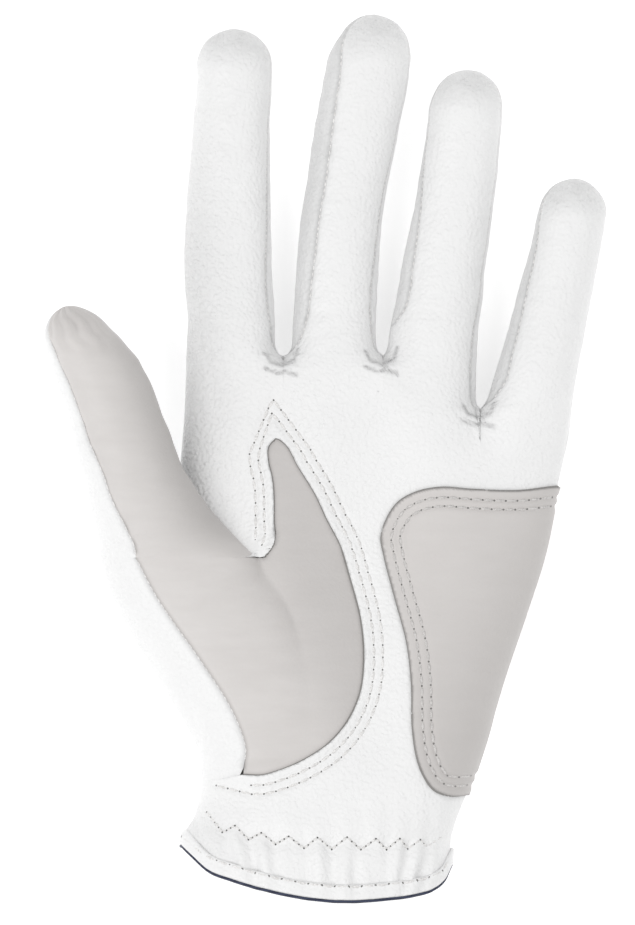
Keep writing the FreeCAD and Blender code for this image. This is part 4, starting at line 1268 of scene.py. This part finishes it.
# ---- stitching ----------------------------------------------------------------------------------
def palm_skin(points):
    """How far the palm leather's face stands off the hand at plan points."""
    return palm_offset(np.column_stack([points, 0 * points[:, 0]]), np.full(len(points), PI / 2))


def heel_skin(points):
    """How far the heel patch's face stands off the hand at plan points."""
    return heel_offset(np.column_stack([points, 0 * points[:, 0]]), np.full(len(points), PI / 2))


thumb_thread = sewn("thumb_piece_thread", [row_of_stitches(line, 3.1, palm_skin) for line in THUMB_ROWS])
heel_thread = sewn("heel_patch_thread", [row_of_stitches(line, 2.9, heel_skin) for line in HEEL_ROWS],
                   GREY_THREAD)


# ---- the cuff -----------------------------------------------------------------------------------
HEM_TURNS = np.linspace(-1.365, 4.574, 430)
HEM_DEPTH, HEM_LINE = 4.0, 3.35     # the hem's height, and its stitching's above the edge
TAPE = 6.0                          # width of the elastics


def hem_lift(x, y, turn):
    """How far the hem's middle stands off the hand."""
    return 0.42 + 0.55 * gathers(x, y + 3.0, turn) + 0.10 * ripple(x, y, 31, 6.0)


def band(turns, low, depth, rows):
    """A band of the hand's skin round the wrist: rows from a line up to the given depth above it."""
    y = low + depth * np.linspace(0, 1, rows)[:, None]
    turn = turns + 0 * y
    P = surface_at(*ring_plan(turn, y), turn)
    return P, facing(P), turn


P, N, turn = band(HEM_TURNS, rim(HEM_TURNS), HEM_DEPTH, 16)
middle = P + N * hem_lift(P[..., 0], P[..., 1], turn)[..., None]
hem = solid("cuff_hem_leather", slab(middle, N, 1.15, 1.0), WHITE, "white_leather")


def hem_skin(points):
    """How far the hem's face stands off the hand at plan points."""
    return hem_lift(points[:, 0], points[:, 1], np.full(len(points), PI / 2)) + 0.47


x_line = np.linspace(30.2, -35.0, 200)
hem_line = np.column_stack([x_line, through(x_line, RIM_X, RIM_Y) + HEM_LINE])
hem_thread = sewn("hem_thread", [row_of_stitches(hem_line, 3.4, hem_skin, 0.30)], wide=0.36, radius=0.36)
legs = [row_of_stitches(np.linspace(a, b, 30), 1.5, palm_skin, 0.26) for a, b in zip(ZIGZAG, ZIGZAG[1:])]
zigzag_thread = sewn("wrist_zigzag_thread", legs, wide=0.33, radius=0.24)

turns = np.linspace(-1.345, 4.555, 300)
P, N, turn = band(turns, rim(turns), 1.0, 3)
edge_path = P[0] + N[0] * (hem_lift(P[0, :, 0], P[0, :, 1], turn[0]) - 0.25)[:, None] - [0, 0.22, 0]
navy_edge = solid("cuff_edge_tape", tube(edge_path, N[0], 0.42, 0.62, 8), NAVY, "dark_binding")

# The flesh side of the leather, seen through the wrist's opening, and the elastic sewn inside it.
turns = np.linspace(-1.34, 4.55, 200)
P, N, turn = band(turns, rim(turns), 46.0, 60)
inner = P - N * (1.5 + 0.3 * rise(-100, -90, P[..., 1]))[..., None]
lining = piece("wrist_inner_leather", inner, cells(inner.shape[:2], flip=True), -N, LINING, None,
               "white_leather")
turns = np.linspace(-0.35, 3.5, 160)
level = through(WRIST_MIDDLE + WRIST_HALF * np.cos(turns), *ZIGZAG_MIDDLE)
P, N, turn = band(turns, level - TAPE / 2, TAPE, 9)
elastic = solid("wrist_elastic_tape", slab(P - N * 2.6, N, 1.0, 0.4), ELASTIC, "elastic")


# ---- the back: knuckle elastic, slit, closure ---------------------------------------------------
def behind(x, y):
    """Height of the hand's back at plan points."""
    return hand_height(x, y, np.zeros(np.shape(x), bool))


def back_grid(x_range, y_range, columns, rows, corner=0.0):
    """A patch on the back: x across, y up, with rounded corners at its high-x end if asked. Returns the
    points on the leather and the directions out of it."""
    x = np.linspace(*x_range, columns)[None, :]
    middle, half = sum(y_range) / 2, (y_range[1] - y_range[0]) / 2
    if corner:
        far = np.clip((x_range[1] - x) / corner, 0, 1)
        half = half - corner + corner * np.sqrt(1 - (1 - far) ** 2)
    y = middle + np.linspace(-1, 1, rows)[:, None] * half + 0 * x
    x = x + 0 * y
    P = np.stack([x, y, behind(x, y)], -1)
    N = facing(P)
    return P, -N if N[0, 0, 2] > 0 else N


P, N = back_grid((-24, 50), (-TAPE / 2, TAPE / 2), 120, 9)
knuckle = solid("knuckle_elastic_tape", slab(P - N * 1.6, N, 1.0, 0.4), ELASTIC, "elastic")

slit_path = SLIT[SLIT[:, 1] > -98.4]
slit_path = np.column_stack([slit_path, behind(slit_path[:, 0], slit_path[:, 1])])
down = np.tile([0.0, 0.0, -1.0], (len(slit_path), 1))
binding = solid("slit_binding_tape", tube(slit_path + down * 0.1, down, 1.25, 0.75), NAVY, "dark_binding")

P, N = back_grid((4.8, 24), (-90, -69), 70, 76, corner=2.5)
loops = solid("closure_loop_pad", slab(P + N * 0.55, N, 0.9, 0.4), LOOPS, "loop_pad")
P, N = back_grid((-19, -11.4), (-93, -66), 30, 90)
slope = (0.9 + 0.75 * rise(-19, -12.5, P[..., 0]))[..., None]
anchor = solid("closure_tab_sewn_end", slab(P + N * slope, N, 1.3, 0.6), WHITE, "white_leather")
P, N = back_grid((-11.1, 25), (-93, -66), 130, 96, corner=7.0)
wavy = (2.1 + 0.15 * ripple(P[..., 0], P[..., 1], 71, 12.0))[..., None]
tab = solid("closure_tab_leather", slab(P + N * wavy, N, 1.4, 0.7), WHITE, "white_leather", "closure_tab")
P, N = back_grid((6, 18), (-87, -72), 50, 60, corner=2.0)
hooks = solid("closure_hook_pad", slab(P + N * 1.2, N, 0.5, 0.3), HOOKS, "hook_pad", "closure_tab")


def back_stitches(name, corners, pitch, off, body):
    """Running stitches on the back along a plan line."""
    line = np.asarray(corners, float)
    nodes = spaced(line, int(lengths(line)[-1] / pitch) + 1)
    nodes = np.column_stack([nodes, behind(nodes[:, 0], nodes[:, 1]) - off])
    step = nodes[1:] - nodes[:-1]
    up = np.tile([0.0, 0.0, -1.0], (len(step), 1))
    solid(name, stitches(nodes[:-1] + 0.12 * step, nodes[1:] - 0.12 * step, up), THREAD, body=body)


tab_edge = smooth_line([(-9.5, -68), (10, -68), (19, -68.8), (22.6, -72.5), (23.2, -79.5), (22.6, -86.5),
                        (19, -90.2), (10, -91), (-9.5, -91)], 200)
back_stitches("closure_tab_thread", tab_edge, 2.9, 2.9, "closure_tab")
end_edge = [(-17.6, -67.4), (-12.6, -67.4), (-12.6, -91.6), (-17.6, -91.6), (-17.6, -67.4)]
back_stitches("closure_anchor_thread", end_edge, 2.9, 2.35, "hand")


# ---- the camera, light and floor ----------------------------------------------------------------
def area_light(name, place, size, watts):
    """A square light at a place, turned to the origin."""
    lamp = bpy.data.lights.new(name, "AREA")
    lamp.size, lamp.energy = size, watts
    obj = bpy.data.objects.new(name, lamp)
    bpy.context.scene.collection.objects.link(obj)
    obj.location = place
    obj.rotation_euler = (-Vector(place)).to_track_quat("-Z", "Y").to_euler()


def studio():
    """A pale floor under the glove, a wide soft light high on the left, a fill on the right, and a long
    lens looking straight down onto the palm."""
    floor = Finish("studio_floor", 0.9)
    floor.done((0.95, 0.95, 0.95))
    floor.join(floor.shader.inputs["Emission Color"], (1, 1, 1))
    floor.shader.inputs["Emission Strength"].default_value = 0.34
    side_m = 6.0
    mesh = bpy.data.meshes.new("studio_floor")
    mesh.from_pydata([(-side_m, -side_m, 0), (side_m, -side_m, 0), (side_m, side_m, 0), (-side_m, side_m, 0)],
                     [], [(0, 1, 2, 3)])
    ground = bpy.data.objects.new("studio_floor", mesh)
    bpy.context.scene.collection.objects.link(ground)
    mesh.materials.append(floor.material)
    area_light("key_light", (-0.85, -0.35, 1.3), 0.9, 9.0)
    area_light("fill_light", (0.8, 0.2, 1.3), 1.2, 5.0)
    bpy.context.scene.view_settings.view_transform = "Standard"
    world = bpy.data.worlds.new("studio_world")
    bpy.context.scene.world = world
    world.use_nodes = True
    world.node_tree.nodes["Background"].inputs["Color"].default_value = (1, 1, 1, 1)
    world.node_tree.nodes["Background"].inputs["Strength"].default_value = 0.62
    camera = bpy.data.cameras.new("palm_camera")
    view = bpy.data.objects.new("palm_camera", camera)
    bpy.context.scene.collection.objects.link(view)
    height, level = 6.0, 0.02
    camera.sensor_fit = "VERTICAL"
    camera.sensor_height = 24.0
    camera.lens = 24.0 * (height - level) / 0.23125
    camera.clip_start, camera.clip_end = 0.05, 20
    view.location = (-0.0021, -0.00125, height)
    bpy.context.scene.camera = view


studio()


# ---- what each piece stands for -----------------------------------------------------------------
STANDS_FOR = ((palm, "palm_panel", "finger_roots", "finger_webs"), (ball, "thumb_palm_piece"),
              (side, "thumb_back_piece"), (heel, "heel_patch"), (back, "back_panel"), (hem, "cuff_hem"),
              (navy_edge, "cuff_edge_binding"), (elastic, "wrist_elastic"), (knuckle, "knuckle_elastic"),
              (binding, "slit_binding"), (loops, "back_loop_pad"), (anchor, "tab_sewn_end"),
              (tab, "closure_tab"), (hooks, "tab_hook_pad"), (thumb_thread, "thumb_piece_stitching"),
              (heel_thread, "heel_patch_stitching"), (zigzag_thread, "wrist_zigzag_stitching"),
              (hem_thread, "hem_stitching"))
for obj, *nodes in STANDS_FOR:
    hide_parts(*nodes)
for finger in FINGERS:
    for part in ("lower", "upper"):
        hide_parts(f"{finger}_{part}_front")
        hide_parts(f"{finger}_{part}_back")
        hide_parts(f"{finger}_{part}_fourchette")
    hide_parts(f"{finger}_base_crease")
    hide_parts(f"{finger}_middle_crease")
for part in ("lower", "upper"):
    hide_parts(f"thumb_{part}_front")
    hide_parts(f"thumb_{part}_back")
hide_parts("thumb_base_crease")
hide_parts("thumb_tip_crease")


# ---- the width and length each leather and tape was cut to, worked out and not kept --------------
def cut_to(obj, width=None, length=None):
    """Works out the width and length in millimetres of the cut that a sheet was sewn from, and keeps neither.
    Where they aren't given, the length is the piece's own along the hand and the cut fills 85 % of its
    rectangle. The cut's area is the leather's own, as sewn; of a closed sheet, half its surface."""
    shape = obj.data
    edges = np.array([face.edge_keys for face in shape.polygons if len(face.vertices) == 4]).reshape(-1, 2)
    surface = sum(face.area for face in shape.polygons)
    closed = len(np.unique(np.sort(edges, 1), axis=0)) * 2 - len(edges) < 0.002 * len(edges)
    area = surface / 2 if closed else surface
    y = [point.co.y for point in shape.vertices]
    length = length / 1000 if length else max(y) - min(y)
    width = width / 1000 if width else area / length / 0.85


CUTS = ((palm, 132, 132), (ball, 60, 90), (side, 60, 60), (heel, 60, 84), (back, 112, 124),
        (lining, 165, 50), (hem, 196, 10.1), (elastic, 74, 10.1), (knuckle, 78, 10.1),
        (tab, 37, 28), (anchor, 10.1, 28), (loops, 20, 22), (hooks, 12.5, 15.5))
for sheet, width, length in CUTS:
    cut_to(sheet, width, length)
for leather_part in PARTS.values():
    cut_to(leather_part)
